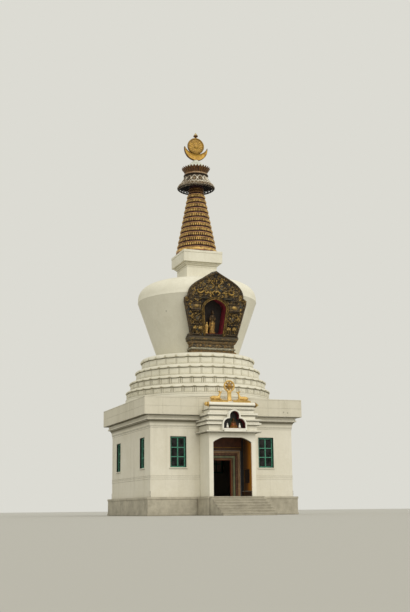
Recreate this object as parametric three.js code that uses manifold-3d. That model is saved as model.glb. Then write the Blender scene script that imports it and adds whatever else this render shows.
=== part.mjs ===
// Stupa: a whitewashed dome on four lotus tiers over a square hall with a front porch.
// Millimetres, +Z up. The origin is on the axis of the spire at ground level, and the porch faces -Y.
import * as THREE from 'three';
import { mergeVertices } from 'three/addons/utils/BufferGeometryUtils.js';
import Module from 'manifold-3d';

const wasm = await Module();
wasm.setup();

// Gap kept where one piece is cut to the shape of its neighbour
const GAP = 0.3;

// Platform and entrance steps
const FLOOR_Z = 1050;
const PLINTH_HALF = 4700;
const PORCH_FLOOR_HALF = 1700;
const PORCH_FLOOR_FRONT = 6600;
const STEP_COUNT = 7;
const STEP_GOING = 300;
const STEP_HALF_WIDTH = 1600;

// Hall walls
const WALL_HALF = 4450;
const WALL_THICKNESS = 350;
const WALL_TOP = 5100;
const WALL_INSIDE = WALL_HALF - WALL_THICKNESS;

// Windows, two to a side
const WINDOW_X = 2760;
const WINDOW_WIDTH = 930;
const WINDOW_SILL = 2750;
const WINDOW_HEIGHT = 1770;
const WINDOW_BAR = 75;
const WINDOW_DEPTH = 90;
const WINDOW_SETBACK = 90;
const GLASS_THICKNESS = 10;

// Doorway inside the porch, with its stepped and painted surround
const DOOR_HALF = 560;
const DOOR_HEAD = 3180;
const DOOR_BAND_COUNT = 4;
const DOOR_BAND_WIDTH = 135;
const DOOR_BAND_STEP = 50;
const DOOR_OPENING_HALF = DOOR_HALF + DOOR_BAND_COUNT * DOOR_BAND_WIDTH;
const DOOR_OPENING_HEAD = DOOR_HEAD + DOOR_BAND_COUNT * DOOR_BAND_WIDTH;

// Cornice, roof and parapet
const CORNICE_COVE_HALF = 4600;
const CORNICE_COVE_TOP = 5480;
const CORNICE_BAND_HALF = 4700;
const CORNICE_TOP = 5780;
const CORNICE_DRIP = 30;

// Cove under the cornice band, from the wall face outwards and up
const COVE_STEPS = [
  { out: 20, up: 0 },
  { out: 40, up: 120 },
  { out: 85, up: 210 },
];
const ROOF_THICKNESS = 300;
const PARAPET_HALF = 4950;
const PARAPET_THICKNESS = 200;
const PARAPET_TOP = 6800;

// Porch
const PORCH_FRONT = 6085;
const PORCH_OUTER_HALF = 1430;
const PORCH_OPENING_HALF = 1180;
const PORCH_HEAD_THICKNESS = 250;
const PORCH_WALL_TOP = 4665;
const PORCH_SPRING = 4118;
const PORCH_HAUNCH_HALF = 930;
const PORCH_HAUNCH_Z = 4268;
const PORCH_FLAT_HALF = 580;
const PORCH_HEAD_Z = 4400;

// Bends of the arch head between jamb, haunch and flat middle
const PORCH_LOWER_BEND = { out: 150, up: 95 };
const PORCH_UPPER_BEND = { in: 190, down: 35 };

// Mouldings above the porch, lowest first: half width, distance of the face in front of the axis, top height
const ENTABLATURE_COURSES = [
  { half: 1700, front: 6450, top: 4770 },
  { half: 1490, front: 6240, top: 5110 },
  { half: 1680, front: 6430, top: 5225 },
  { half: 1590, front: 6340, top: 5315 },
  { half: 1700, front: 6450, top: 5425 },
  { half: 1430, front: 6120, top: 5655 },
  { half: 1550, front: 6240, top: 5815 },
  { half: 1370, front: 6040, top: 5985 },
  { half: 1430, front: 6130, top: 6080 },
  { half: 1350, front: 6090, top: 6170 },
];
const PEDIMENT_PLINTH = { half: 1330, front: 5900, top: 6500 };

// Trefoil niche above the porch
const NICHE_FRONT = 6520;
const NICHE_DEPTH = 520;
const NICHE_RECESS = 430;
const NICHE_RIM = 90;
const NICHE_BOTTOM = 4885;
const NICHE_FOOT = 4775;
const NICHE_SILL_BOTTOM = 4690;
const NICHE_SILL_HALF = 680;
const NICHE_SILL_PROUD = 60;
const NICHE_TOP_LOBE = { z: 5595, r: 285 };
const NICHE_SIDE_LOBE = { x: 315, z: 5105, r: 345 };

// Figures in the niche: a seated one in the middle, a smaller one at each side
const NICHE_FIGURE_Y = -NICHE_FRONT + NICHE_RECESS / 2 + 20;
const NICHE_BASE = { half: 520, depthHalf: 110, height: 60 };
const NICHE_LAP = { z: 130, half: [230, 105, 90] };
const NICHE_TRUNK = { z0: 100, z1: 420, r0: 125, r1: 105 };
const NICHE_HEAD = { z: 480, half: [75, 75, 95] };
const NICHE_SIDE_X = 350;
const NICHE_SIDE_TRUNK = { z0: 50, z1: 190, r0: 75, r1: 50 };
const NICHE_SIDE_HEAD = { z: 225, half: [45, 45, 55] };

// Roll bar, wheel and deer on top of the porch
const BAR_RADIUS = 127;
const BAR_HALF = 1460;
const BAR_CAP = 230;
const BAR_CAP_R = 150;
const BAR_CAP_TIP_R = 60;
const BAR_CAP_EDGE = 40;
const BAR_Y = -6060;
const WHEEL_Y = -5670;
const WHEEL_Z = 7420;
const WHEEL_RADIUS = 345;
const WHEEL_THICKNESS = 90;
const WHEEL_RIM_WIDTH = 90;
const WHEEL_SPOKE_COUNT = 8;
const WHEEL_SPOKE_R = 32;
const WHEEL_HUB = { r: 100, half: 60 };
const WHEEL_STEM = { half: 95, depthHalf: 70 };
const DEER_BASE = { inner: 330, outer: 1230, depthHalf: 130, top: 6580 };

// Lying deer: distance from the wheel, height above the slab, and half sizes of each rounded body
const DEER_BODY = { x: 850, z: 105, half: [300, 110, 125] };
const DEER_CHEST = { x: 640, z: 150, half: [130, 95, 130] };
const DEER_NECK = { from: [640, 160], to: [590, 390], r: [85, 55] };
const DEER_HEAD = { x: 555, z: 425, half: [115, 55, 60] };

// Lotus tiers: drum below, then panel and lip of each tier, lowest first
const LOTUS_DRUM = { r: 4600, top: 7145 };
const LOTUS_TIERS = [
  { panel: 4520, lip: 4600, lipZ: 7528, top: 7722 },
  { panel: 4290, lip: 4370, lipZ: 8120, top: 8306 },
  { panel: 3930, lip: 4010, lipZ: 8800, top: 9015 },
  { panel: 3580, lip: 3670, lipZ: 9485, top: 9750 },
];
const LIP_ROUNDING = 55;

// Sloping back of each lip: distance in from the lip, distance below the top of the tier
const LIP_SLOPE = [[35, 110], [105, 45], [230, 0]];

// Dome: a cone that widens upwards, a crease, and a shoulder that closes to the neck
const DOME_BASE_R = 2547;
const DOME_CREASE_R = 3853;
const DOME_CREASE_Z = 13459;
const DOME_TOP_R = 1000;
const DOME_TOP_Z = 14792;
const SHOULDER_POWER_R = 0.634;
const SHOULDER_POWER_Z = 0.753;

// Shrine on the front of the dome, leaning out with it
const SHRINE_LEAN = THREE.MathUtils.degToRad(9);
const SHRINE_FOOT_Z = 10820;
const SHRINE_FOOT_FRONT = 3150;
const SHRINE_DEPTH = 900;
const SHRINE_FOOT_HALF = 1550;
const SHRINE_EAR_HALF = 2060;
const SHRINE_EAR_LOW = 2020;
const SHRINE_EAR_TOP = 2280;
const SHRINE_SHOULDER_HALF = 1850;
const SHRINE_SHOULDER_Z = 2420;
const SHRINE_TIP_Z = 4030;
const SHRINE_ARCH_HALF = 725;
const SHRINE_ARCH_FOOT_HALF = 560;
const SHRINE_ARCH_BOTTOM = 130;
const SHRINE_ARCH_SPRING = 1700;
const SHRINE_ARCH_TIP = 2270;
const SHRINE_RECESS = 760;

// Handles of the curves in the shrine's outline and arch
const SHRINE_SIDE_HANDLE = 850;
const SHRINE_TIP_HANDLE = { x: 800, down: 500 };
const ARCH_HANDLE = { in: 60, down: 160 };
const PEDESTAL_BASE = { half: 1480, front: 3120, top: 10480 };
const PEDESTAL_CORNICE = { half: 1600, front: 3200, top: SHRINE_FOOT_Z };
const PEDESTAL_BACK = 2350;
const WEDGE_TOP = SHRINE_FOOT_Z + SHRINE_DEPTH * Math.sin(SHRINE_LEAN);
const CUTTER_REACH = 800;

// Standing figures in the shrine: parts as fractions of the height, half sizes in millimetres
const FIGURE_Y = SHRINE_RECESS * 0.55;
const STATUE = {
  x: 0, y: FIGURE_Y, height: 1450, base: [230, 170, 70],
  robe: { z: 0.62, r: [180, 150] }, trunk: { z: 0.84, r: [190, 120] }, head: { z: 0.9, half: [85, 85, 125] },
};
const ATTENDANT = {
  x: -370, y: FIGURE_Y - 60, height: 720, base: [95, 95, 60],
  robe: { z: 0.55, r: [85, 78] }, trunk: { z: 0.8, r: [82, 62] }, head: { z: 0.88, half: [60, 60, 85] },
};

// Harmika: the square block between dome and spire
const NECK_HALF = 1020;
const NECK_BOTTOM = 14300;
const NECK_MOULD_HALF = 1190;
const NECK_MOULD_Z = 15800;
const SLAB_HALF = 1330;
const SLAB_BOTTOM = 15965;
const SLAB_TOP = 16742;

// Spire of rings
const RING_COUNT = 12;
const RING_PITCH = 343;
const LOWEST_RING_EXTRA = 49;
const RING_BOTTOM_R = 1360;
const RING_TAPER = 0.1935;
const RING_GROOVE = 45;
const RING_GROOVE_HEIGHT = 45;
const NARROW_RING = { r: 515, top: 21255 };
const MAST_RADIUS = 440;

// Canopy, crown and finial
const CANOPY_TOP = 22130;
const CANOPY_SKIN = 45;
const CANOPY_PLATE = CANOPY_TOP - 3 * CANOPY_SKIN;
const CANOPY_LIP_POINTS = 4;
const CANOPY_OUTLINE = [
  [1130, 21205], [1200, 21250], [1250, 21305], [1250, 21350], [1172, 21458], [1068, 21600], [962, 21755], [860, 21900],
  [808, 22030], [790, CANOPY_TOP],
];
const CROWN_FLOOR = 22640;
const CROWN_OUTLINE = [
  [795, 22130], [828, 22175], [828, 22245], [795, 22285], [735, 22310], [763, 22370], [850, 22510], [958, 22710],
  [890, 22710], [840, CROWN_FLOOR],
];
const CONE_OUTLINE = [
  [740, CROWN_FLOOR], [735, 22720], [600, 22850], [470, 22960], [300, 23080], [180, 23200], [150, 23270],
];
const MOON_Z = 24080;
const MOON_OUTER_R = 810;
const MOON_INNER_Z = 24610;
const MOON_INNER_R = 900;
const MOON_THICKNESS = 200;
const SUN_R = 572;
const SUN_THICKNESS = 240;
const JEWEL_HEIGHT = 400;

// Jewel outline: radius in millimetres, height as a fraction of the whole
const JEWEL_OUTLINE = [[45, 0], [60, 0.1], [148, 0.3], [118, 0.55], [44, 0.8]];

const stupa = new THREE.Group();

// Materials by what the piece is made of
const finish = {
  limewash: { color: 0xd9d3bd, roughness: 0.9, metalness: 0 },
  render: { color: 0xc6bea7, roughness: 0.9, metalness: 0 },
  paving: { color: 0xb9b1a0, roughness: 0.95, metalness: 0 },
  teal: { color: 0x4e8369, roughness: 0.5, metalness: 0 },
  glass: { color: 0x1c2422, roughness: 0.1, metalness: 0 },
  painted: { color: 0x8a4a2c, roughness: 0.7, metalness: 0 },
  gilt: { color: 0xc08f2f, roughness: 0.4, metalness: 0.8 },
  bronze: { color: 0x4a3a26, roughness: 0.55, metalness: 0.6 },
  silver: { color: 0x8f8878, roughness: 0.5, metalness: 0.7 },
};

function addPiece(name, geometry, look) {
  const mesh = new THREE.Mesh(geometry, new THREE.MeshStandardMaterial(finish[look]));
  mesh.name = name;
  stupa.add(mesh);
  return mesh;
}

// Box between two corners
function box(x0, x1, y0, y1, z0, z1) {
  const geometry = new THREE.BoxGeometry(x1 - x0, y1 - y0, z1 - z0);
  return geometry.translate((x0 + x1) / 2, (y0 + y1) / 2, (z0 + z1) / 2);
}

// Solid of revolution about Z from [radius, height] points that go from the bottom up
function turned(points, segments = 48) {
  const outline = points.map(([r, z]) => new THREE.Vector2(r, z));
  return new THREE.LatheGeometry(outline, segments).rotateX(Math.PI / 2);
}

// The same with a square plan, where the radius is half the width
function squareTurned(points) {
  const outline = points.map(([half, z]) => new THREE.Vector2(half * Math.SQRT2, z));
  return new THREE.LatheGeometry(outline, 4, Math.PI / 4).rotateX(Math.PI / 2);
}

// Outline in X and Z, from a front face at y = front back through a depth
function slabFrom(shape, front, depth, curveSegments = 12) {
  const geometry = new THREE.ExtrudeGeometry(shape, { depth, bevelEnabled: false, curveSegments });
  return geometry.rotateX(Math.PI / 2).translate(0, front + depth, 0);
}

// Exact turn about Z by a number of quarters
function quarterTurn(geometry, quarters) {
  const c = [1, 0, -1, 0][quarters % 4];
  const s = [0, 1, 0, -1][quarters % 4];
  return geometry.applyMatrix4(new THREE.Matrix4().set(c, -s, 0, 0, s, c, 0, 0, 0, 0, 1, 0, 0, 0, 0, 1));
}

function rectangle(x0, x1, z0, z1, Kind = THREE.Shape) {
  const shape = new Kind();
  shape.moveTo(x0, z0).lineTo(x1, z0).lineTo(x1, z1).lineTo(x0, z1).closePath();
  return shape;
}

function toSolid(geometry) {
  const bare = geometry.clone();
  bare.deleteAttribute('normal');
  bare.deleteAttribute('uv');
  const merged = mergeVertices(bare, 1e-3);
  const index = Array.from(merged.index.array);
  const triangles = [];
  for (let i = 0; i < index.length; i += 3) {
    const [a, b, c] = index.slice(i, i + 3);
    if (a !== b && b !== c && c !== a) {
      triangles.push(a, b, c);
    }
  }
  const mesh = new wasm.Mesh({
    numProp: 3,
    vertProperties: new Float32Array(merged.attributes.position.array),
    triVerts: new Uint32Array(triangles),
  });
  return new wasm.Manifold(mesh);
}

function toGeometry(solid) {
  const mesh = solid.getMesh();
  const geometry = new THREE.BufferGeometry();
  geometry.setAttribute('position', new THREE.BufferAttribute(mesh.vertProperties, 3));
  geometry.setIndex(new THREE.BufferAttribute(mesh.triVerts, 1));
  return geometry;
}

function join(geometries) {
  return toGeometry(geometries.map(toSolid).reduce((sum, next) => sum.add(next)));
}

function cut(geometry, cutters) {
  return toGeometry(cutters.map(toSolid).reduce((rest, next) => rest.subtract(next), toSolid(geometry)));
}

// Rounded body used in the figures
function ellipsoid(x, y, z, half) {
  return new THREE.SphereGeometry(1, 10, 7).scale(...half).translate(x, y, z);
}

// Round bar between two points
function bar(from, to, r0, r1, segments = 10) {
  const a = new THREE.Vector3(...from);
  const b = new THREE.Vector3(...to);
  const along = b.clone().sub(a);
  const geometry = new THREE.CylinderGeometry(r1, r0, along.length(), segments);
  const turn = new THREE.Quaternion().setFromUnitVectors(new THREE.Vector3(0, 1, 0), along.normalize());
  const middle = a.add(b).multiplyScalar(0.5);
  return geometry.applyQuaternion(turn).translate(middle.x, middle.y, middle.z);
}

function buildPlatform() {
  const reach = PLINTH_HALF;
  const floor = box(-reach, reach, -reach, reach, 0, FLOOR_Z);
  const porchFloor = box(-PORCH_FLOOR_HALF, PORCH_FLOOR_HALF, -PORCH_FLOOR_FRONT, -WALL_HALF, 0, FLOOR_Z);
  addPiece('plinth', join([floor, porchFloor]), 'paving');
  const riser = FLOOR_Z / STEP_COUNT;
  const profile = new THREE.Shape();
  profile.moveTo(0, 0);
  for (let i = 0; i < STEP_COUNT; i += 1) {
    profile.lineTo(i * STEP_GOING, (i + 1) * riser);
    profile.lineTo((i + 1) * STEP_GOING, (i + 1) * riser);
  }
  profile.lineTo(STEP_COUNT * STEP_GOING, 0);
  profile.closePath();
  const steps = new THREE.ExtrudeGeometry(profile, { depth: 2 * STEP_HALF_WIDTH, bevelEnabled: false });
  steps.rotateX(Math.PI / 2).rotateZ(Math.PI / 2);
  steps.translate(-STEP_HALF_WIDTH, -PORCH_FLOOR_FRONT - STEP_COUNT * STEP_GOING, 0);
  addPiece('entrance_steps', steps, 'paving');
}

// Wall panel facing -Y, from x0 to x1, with a hole for each window
function wallPanel(x0, x1, windows) {
  const half = WINDOW_WIDTH / 2;
  const holes = windows.map((x) => box(
    x - half, x + half, -WALL_HALF - 100, -WALL_INSIDE + 100, WINDOW_SILL, WINDOW_SILL + WINDOW_HEIGHT,
  ));
  return cut(box(x0, x1, -WALL_HALF, -WALL_INSIDE, FLOOR_Z, WALL_TOP), holes);
}

function buildWalls() {
  addPiece('front_wall_left', wallPanel(-WALL_HALF, -DOOR_OPENING_HALF, [-WINDOW_X]), 'render');
  addPiece('front_wall_right', wallPanel(DOOR_OPENING_HALF, WALL_HALF, [WINDOW_X]), 'render');
  const overDoor = rectangle(-DOOR_OPENING_HALF, DOOR_OPENING_HALF, DOOR_OPENING_HEAD, WALL_TOP);
  addPiece('front_wall_over_door', slabFrom(overDoor, -WALL_HALF, WALL_THICKNESS), 'render');
  const both = [-WINDOW_X, WINDOW_X];
  addPiece('right_wall', quarterTurn(wallPanel(-WALL_INSIDE, WALL_INSIDE, both), 1), 'render');
  addPiece('back_wall', quarterTurn(wallPanel(-WALL_HALF, WALL_HALF, both), 2), 'render');
  addPiece('left_wall', quarterTurn(wallPanel(-WALL_INSIDE, WALL_INSIDE, both), 3), 'render');
}

// Teal frame of one window, as if in the front wall at x
function windowFrame(x) {
  const half = WINDOW_WIDTH / 2;
  const light = half - WINDOW_BAR;
  const top = WINDOW_SILL + WINDOW_HEIGHT;
  const shape = rectangle(x - half, x + half, WINDOW_SILL, top);
  shape.holes.push(rectangle(x - light, x + light, WINDOW_SILL + WINDOW_BAR, top - WINDOW_BAR, THREE.Path));
  return slabFrom(shape, -WALL_HALF + WINDOW_SETBACK, WINDOW_DEPTH);
}

function windowGlass(x) {
  const half = WINDOW_WIDTH / 2 - WINDOW_BAR;
  const middle = -WALL_HALF + WINDOW_SETBACK + WINDOW_DEPTH / 2;
  const z0 = WINDOW_SILL + WINDOW_BAR;
  const z1 = WINDOW_SILL + WINDOW_HEIGHT - WINDOW_BAR;
  return box(x - half, x + half, middle - GLASS_THICKNESS / 2, middle + GLASS_THICKNESS / 2, z0, z1);
}

// One sheet on the inner face of a wall, behind both of its windows
function glassSheet() {
  const reach = WINDOW_X + WINDOW_WIDTH / 2 + WINDOW_BAR;
  const top = WINDOW_SILL + WINDOW_HEIGHT + WINDOW_BAR;
  return box(-reach, reach, -WALL_INSIDE, -WALL_INSIDE + GLASS_THICKNESS, WINDOW_SILL - WINDOW_BAR, top);
}

function buildWindows() {
  ['front', 'right', 'back', 'left'].forEach((name, quarters) => {
    addPiece(`window_${name}_1`, quarterTurn(windowFrame(-WINDOW_X), quarters), 'teal');
    addPiece(`window_${name}_2`, quarterTurn(windowFrame(WINDOW_X), quarters), 'teal');
    if (name !== 'front') {
      addPiece(`glass_${name}`, quarterTurn(glassSheet(), quarters), 'glass');
    }
  });
  addPiece('glass_front_1', windowGlass(-WINDOW_X), 'glass');
  addPiece('glass_front_2', windowGlass(WINDOW_X), 'glass');
}

// Frame around a doorway, from an outer to an inner half width and head height
function portal(outer, outerHead, inner, innerHead) {
  const shape = new THREE.Shape();
  shape.moveTo(-outer, FLOOR_Z).lineTo(-inner, FLOOR_Z).lineTo(-inner, innerHead).lineTo(inner, innerHead);
  shape.lineTo(inner, FLOOR_Z).lineTo(outer, FLOOR_Z).lineTo(outer, outerHead).lineTo(-outer, outerHead);
  shape.closePath();
  return shape;
}

// Bands of the door surround, each set back from the one outside it
function buildDoorFrame() {
  const bands = [];
  for (let i = 0; i < DOOR_BAND_COUNT; i += 1) {
    const outer = DOOR_OPENING_HALF - i * DOOR_BAND_WIDTH;
    const head = DOOR_OPENING_HEAD - i * DOOR_BAND_WIDTH;
    const depth = WALL_THICKNESS - (i + 1) * DOOR_BAND_STEP;
    const band = portal(outer, head, outer - DOOR_BAND_WIDTH, head - DOOR_BAND_WIDTH);
    bands.push(slabFrom(band, -WALL_INSIDE - depth, depth));
  }
  addPiece('door_frame', join(bands), 'painted');
}

function buildRoof() {
  const drip = CORNICE_TOP - CORNICE_DRIP;
  const outline = [
    [WALL_INSIDE, WALL_TOP], ...COVE_STEPS.map(({ out, up }) => [WALL_HALF + out, WALL_TOP + up]),
    [CORNICE_COVE_HALF, CORNICE_COVE_TOP], [CORNICE_BAND_HALF, CORNICE_COVE_TOP], [CORNICE_BAND_HALF, drip],
    [PARAPET_HALF, drip], [PARAPET_HALF, CORNICE_TOP], [WALL_INSIDE, CORNICE_TOP], [WALL_INSIDE, WALL_TOP],
  ];
  addPiece('cornice', squareTurned(outline), 'render');
  const room = WALL_INSIDE;
  addPiece('roof_slab', box(-room, room, -room, room, CORNICE_TOP - ROOF_THICKNESS, CORNICE_TOP), 'render');
  const outer = PARAPET_HALF;
  const inner = PARAPET_HALF - PARAPET_THICKNESS;
  addPiece('parapet_front', box(-outer, outer, -outer, -inner, CORNICE_TOP, PARAPET_TOP), 'render');
  addPiece('parapet_back', box(-outer, outer, inner, outer, CORNICE_TOP, PARAPET_TOP), 'render');
  addPiece('parapet_left', box(-outer, -inner, -inner, inner, CORNICE_TOP, PARAPET_TOP), 'render');
  addPiece('parapet_right', box(inner, outer, -inner, inner, CORNICE_TOP, PARAPET_TOP), 'render');
}

// Outside of walls, cornice and parapet, a little enlarged, to cut the porch mouldings against
function mainBlockCutter() {
  const wall = WALL_HALF + GAP;
  const drip = CORNICE_TOP - CORNICE_DRIP - GAP;
  return squareTurned([
    [0, FLOOR_Z], [wall, FLOOR_Z], [wall, WALL_TOP - GAP],
    ...COVE_STEPS.map(({ out, up }) => [wall + out, WALL_TOP + up - GAP]),
    [CORNICE_COVE_HALF + GAP, CORNICE_COVE_TOP - GAP], [CORNICE_BAND_HALF + GAP, CORNICE_COVE_TOP - GAP],
    [CORNICE_BAND_HALF + GAP, drip], [PARAPET_HALF + GAP, drip],
    [PARAPET_HALF + GAP, PARAPET_TOP + GAP], [0, PARAPET_TOP + GAP],
  ]);
}

// Three lobed outline, grown by a margin
function trefoil(margin, bottom, Kind = THREE.Shape) {
  const top = NICHE_TOP_LOBE;
  const side = NICHE_SIDE_LOBE;
  const topR = top.r + margin;
  const sideR = side.r + margin;
  const reach = side.x + sideR;
  // Where the top lobe meets the side lobes
  const dx = side.x;
  const dz = top.z - side.z;
  const gap = Math.hypot(dx, dz);
  const along = (sideR ** 2 - topR ** 2 + gap ** 2) / (2 * gap);
  const across = Math.sqrt(sideR ** 2 - along ** 2);
  const meetX = side.x - (dx * along) / gap + (dz * across) / gap;
  const meetZ = side.z + (dz * along) / gap + (dx * across) / gap;
  const sideAngle = Math.atan2(meetZ - side.z, meetX - side.x);
  const topAngle = Math.atan2(meetZ - top.z, meetX);
  const shape = new Kind();
  shape.moveTo(-reach, bottom).lineTo(reach, bottom).lineTo(reach, side.z);
  shape.absarc(side.x, side.z, sideR, 0, sideAngle, false);
  shape.absarc(0, top.z, topR, topAngle, Math.PI - topAngle, false);
  shape.absarc(-side.x, side.z, sideR, Math.PI - sideAngle, Math.PI, false);
  shape.closePath();
  return shape;
}

function buildPorch() {
  const front = -PORCH_FRONT;
  const back = -WALL_HALF;
  const side = [PORCH_OPENING_HALF, PORCH_OUTER_HALF];
  addPiece('porch_wall_left', box(-side[1], -side[0], front, back, FLOOR_Z, PORCH_WALL_TOP), 'render');
  addPiece('porch_wall_right', box(side[0], side[1], front, back, FLOOR_Z, PORCH_WALL_TOP), 'render');
  const lower = { x: PORCH_HAUNCH_HALF + PORCH_LOWER_BEND.out, z: PORCH_SPRING + PORCH_LOWER_BEND.up };
  const upper = { x: PORCH_HAUNCH_HALF - PORCH_UPPER_BEND.in, z: PORCH_HEAD_Z - PORCH_UPPER_BEND.down };
  const head = new THREE.Shape();
  head.moveTo(-PORCH_OPENING_HALF, PORCH_SPRING);
  head.quadraticCurveTo(-lower.x, lower.z, -PORCH_HAUNCH_HALF, PORCH_HAUNCH_Z);
  head.quadraticCurveTo(-upper.x, upper.z, -PORCH_FLAT_HALF, PORCH_HEAD_Z);
  head.lineTo(PORCH_FLAT_HALF, PORCH_HEAD_Z);
  head.quadraticCurveTo(upper.x, upper.z, PORCH_HAUNCH_HALF, PORCH_HAUNCH_Z);
  head.quadraticCurveTo(lower.x, lower.z, PORCH_OPENING_HALF, PORCH_SPRING);
  head.lineTo(PORCH_OPENING_HALF, PORCH_WALL_TOP).lineTo(-PORCH_OPENING_HALF, PORCH_WALL_TOP).closePath();
  addPiece('porch_arch_head', slabFrom(head, front, PORCH_HEAD_THICKNESS, 6), 'render');
}

function buildEntablature() {
  let bottom = PORCH_WALL_TOP;
  const courses = ENTABLATURE_COURSES.map(({ half, front, top }) => {
    const course = box(-half, half, -front, -WALL_INSIDE, bottom, top);
    bottom = top;
    return course;
  });
  const { half, front, top } = PEDIMENT_PLINTH;
  courses.push(box(-half, half, -front, -WALL_INSIDE, bottom, top));
  const nicheRoom = slabFrom(
    trefoil(NICHE_RIM + GAP, NICHE_FOOT - GAP), -NICHE_FRONT - 100, NICHE_DEPTH + 100 + GAP,
  );
  const sillRoom = box(
    -NICHE_SILL_HALF - GAP, NICHE_SILL_HALF + GAP, -NICHE_FRONT - 100, -NICHE_FRONT + NICHE_DEPTH + GAP,
    NICHE_SILL_BOTTOM - GAP, NICHE_BOTTOM + GAP,
  );
  addPiece('porch_entablature', cut(join(courses), [mainBlockCutter(), nicheRoom, sillRoom]), 'limewash');
}

function buildNiche() {
  const body = slabFrom(trefoil(NICHE_RIM, NICHE_FOOT), -NICHE_FRONT, NICHE_DEPTH);
  const sill = box(
    -NICHE_SILL_HALF, NICHE_SILL_HALF, -NICHE_FRONT - NICHE_SILL_PROUD, -NICHE_FRONT + NICHE_DEPTH,
    NICHE_SILL_BOTTOM, NICHE_BOTTOM,
  );
  const recess = slabFrom(trefoil(0, NICHE_BOTTOM), -NICHE_FRONT - 100, NICHE_RECESS + 100);
  addPiece('niche_surround', cut(join([body, sill]), [recess]), 'limewash');
  const y = NICHE_FIGURE_Y;
  const z = NICHE_BOTTOM;
  const base = NICHE_BASE;
  const trunk = (x, { z0, z1, r0, r1 }) => bar([x, y, z + z0], [x, y, z + z1], r0, r1);
  const figures = [
    box(-base.half, base.half, y - base.depthHalf, y + base.depthHalf, z, z + base.height),
    ellipsoid(0, y, z + NICHE_LAP.z, NICHE_LAP.half),
    trunk(0, NICHE_TRUNK),
    ellipsoid(0, y, z + NICHE_HEAD.z, NICHE_HEAD.half),
  ];
  [-NICHE_SIDE_X, NICHE_SIDE_X].forEach((x) => {
    figures.push(trunk(x, NICHE_SIDE_TRUNK), ellipsoid(x, y, z + NICHE_SIDE_HEAD.z, NICHE_SIDE_HEAD.half));
  });
  addPiece('niche_figures', join(figures), 'gilt');
}

function buildPedimentBar() {
  const z = ENTABLATURE_COURSES.at(-1).top + BAR_RADIUS + GAP;
  const tip = BAR_HALF + BAR_CAP;
  const half = [
    [BAR_RADIUS, BAR_HALF - BAR_CAP_EDGE], [BAR_CAP_R, BAR_HALF],
    [BAR_CAP_TIP_R, tip - BAR_CAP_EDGE], [0, tip],
  ];
  const outline = [...half.map(([r, x]) => [r, -x]).reverse(), ...half];
  const roll = turned(outline, 24).rotateY(Math.PI / 2).translate(0, BAR_Y, z);
  addPiece('pediment_bar', roll, 'limewash');
}

function buildWheel() {
  const reach = WHEEL_RADIUS - WHEEL_RIM_WIDTH / 2;
  const centre = [0, WHEEL_Y, WHEEL_Z];
  const spokes = [];
  for (let i = 0; i < WHEEL_SPOKE_COUNT; i += 1) {
    const angle = (2 * Math.PI * i) / WHEEL_SPOKE_COUNT;
    const end = [reach * Math.cos(angle), WHEEL_Y, WHEEL_Z + reach * Math.sin(angle)];
    spokes.push(bar(centre, end, WHEEL_SPOKE_R, WHEEL_SPOKE_R, 8));
  }
  const half = WHEEL_THICKNESS / 2;
  const inner = WHEEL_RADIUS - WHEEL_RIM_WIDTH;
  const rim = turned([
    [inner, -half], [WHEEL_RADIUS, -half], [WHEEL_RADIUS, half], [inner, half], [inner, -half],
  ], 32).rotateX(Math.PI / 2).translate(...centre);
  const hubEnds = [-WHEEL_HUB.half, WHEEL_HUB.half].map((y) => [0, WHEEL_Y + y, WHEEL_Z]);
  const hub = bar(...hubEnds, WHEEL_HUB.r, WHEEL_HUB.r, 16);
  const stem = box(
    -WHEEL_STEM.half, WHEEL_STEM.half, WHEEL_Y - WHEEL_STEM.depthHalf, WHEEL_Y + WHEEL_STEM.depthHalf,
    PEDIMENT_PLINTH.top, WHEEL_Z - inner,
  );
  addPiece('dharma_wheel', join([rim, hub, stem, ...spokes]), 'gilt');
}

// Lying deer on its slab, on the side of the wheel that the sign gives
function buildDeer(name, sign) {
  const base = DEER_BASE;
  const y = WHEEL_Y;
  const ends = [sign * base.inner, sign * base.outer].sort((a, b) => a - b);
  const rounded = ({ x, z, half }) => ellipsoid(sign * x, y, base.top + z, half);
  const [neckFrom, neckTo] = [DEER_NECK.from, DEER_NECK.to].map(([x, z]) => [sign * x, y, base.top + z]);
  addPiece(name, join([
    box(...ends, y - base.depthHalf, y + base.depthHalf, PEDIMENT_PLINTH.top, base.top),
    rounded(DEER_BODY),
    rounded(DEER_CHEST),
    bar(neckFrom, neckTo, ...DEER_NECK.r),
    rounded(DEER_HEAD),
  ]), 'gilt');
}

function buildLotus() {
  const { r, top } = LOTUS_DRUM;
  addPiece('lotus_drum', turned([[0, CORNICE_TOP], [r, CORNICE_TOP], [r, top], [0, top]], 56), 'limewash');
  let bottom = top;
  LOTUS_TIERS.forEach((tier, i) => {
    const edge = tier.lip - LIP_ROUNDING;
    const outline = [
      [0, bottom], [tier.panel, bottom], [tier.panel, tier.lipZ - LIP_ROUNDING],
      [edge, tier.lipZ], [tier.lip, tier.lipZ + LIP_ROUNDING],
      ...LIP_SLOPE.map(([back, down]) => [tier.lip - back, tier.top - down]), [0, tier.top],
    ];
    addPiece(`lotus_tier_${i + 1}`, turned(outline, 56), 'limewash');
    bottom = tier.top;
  });
}

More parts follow.
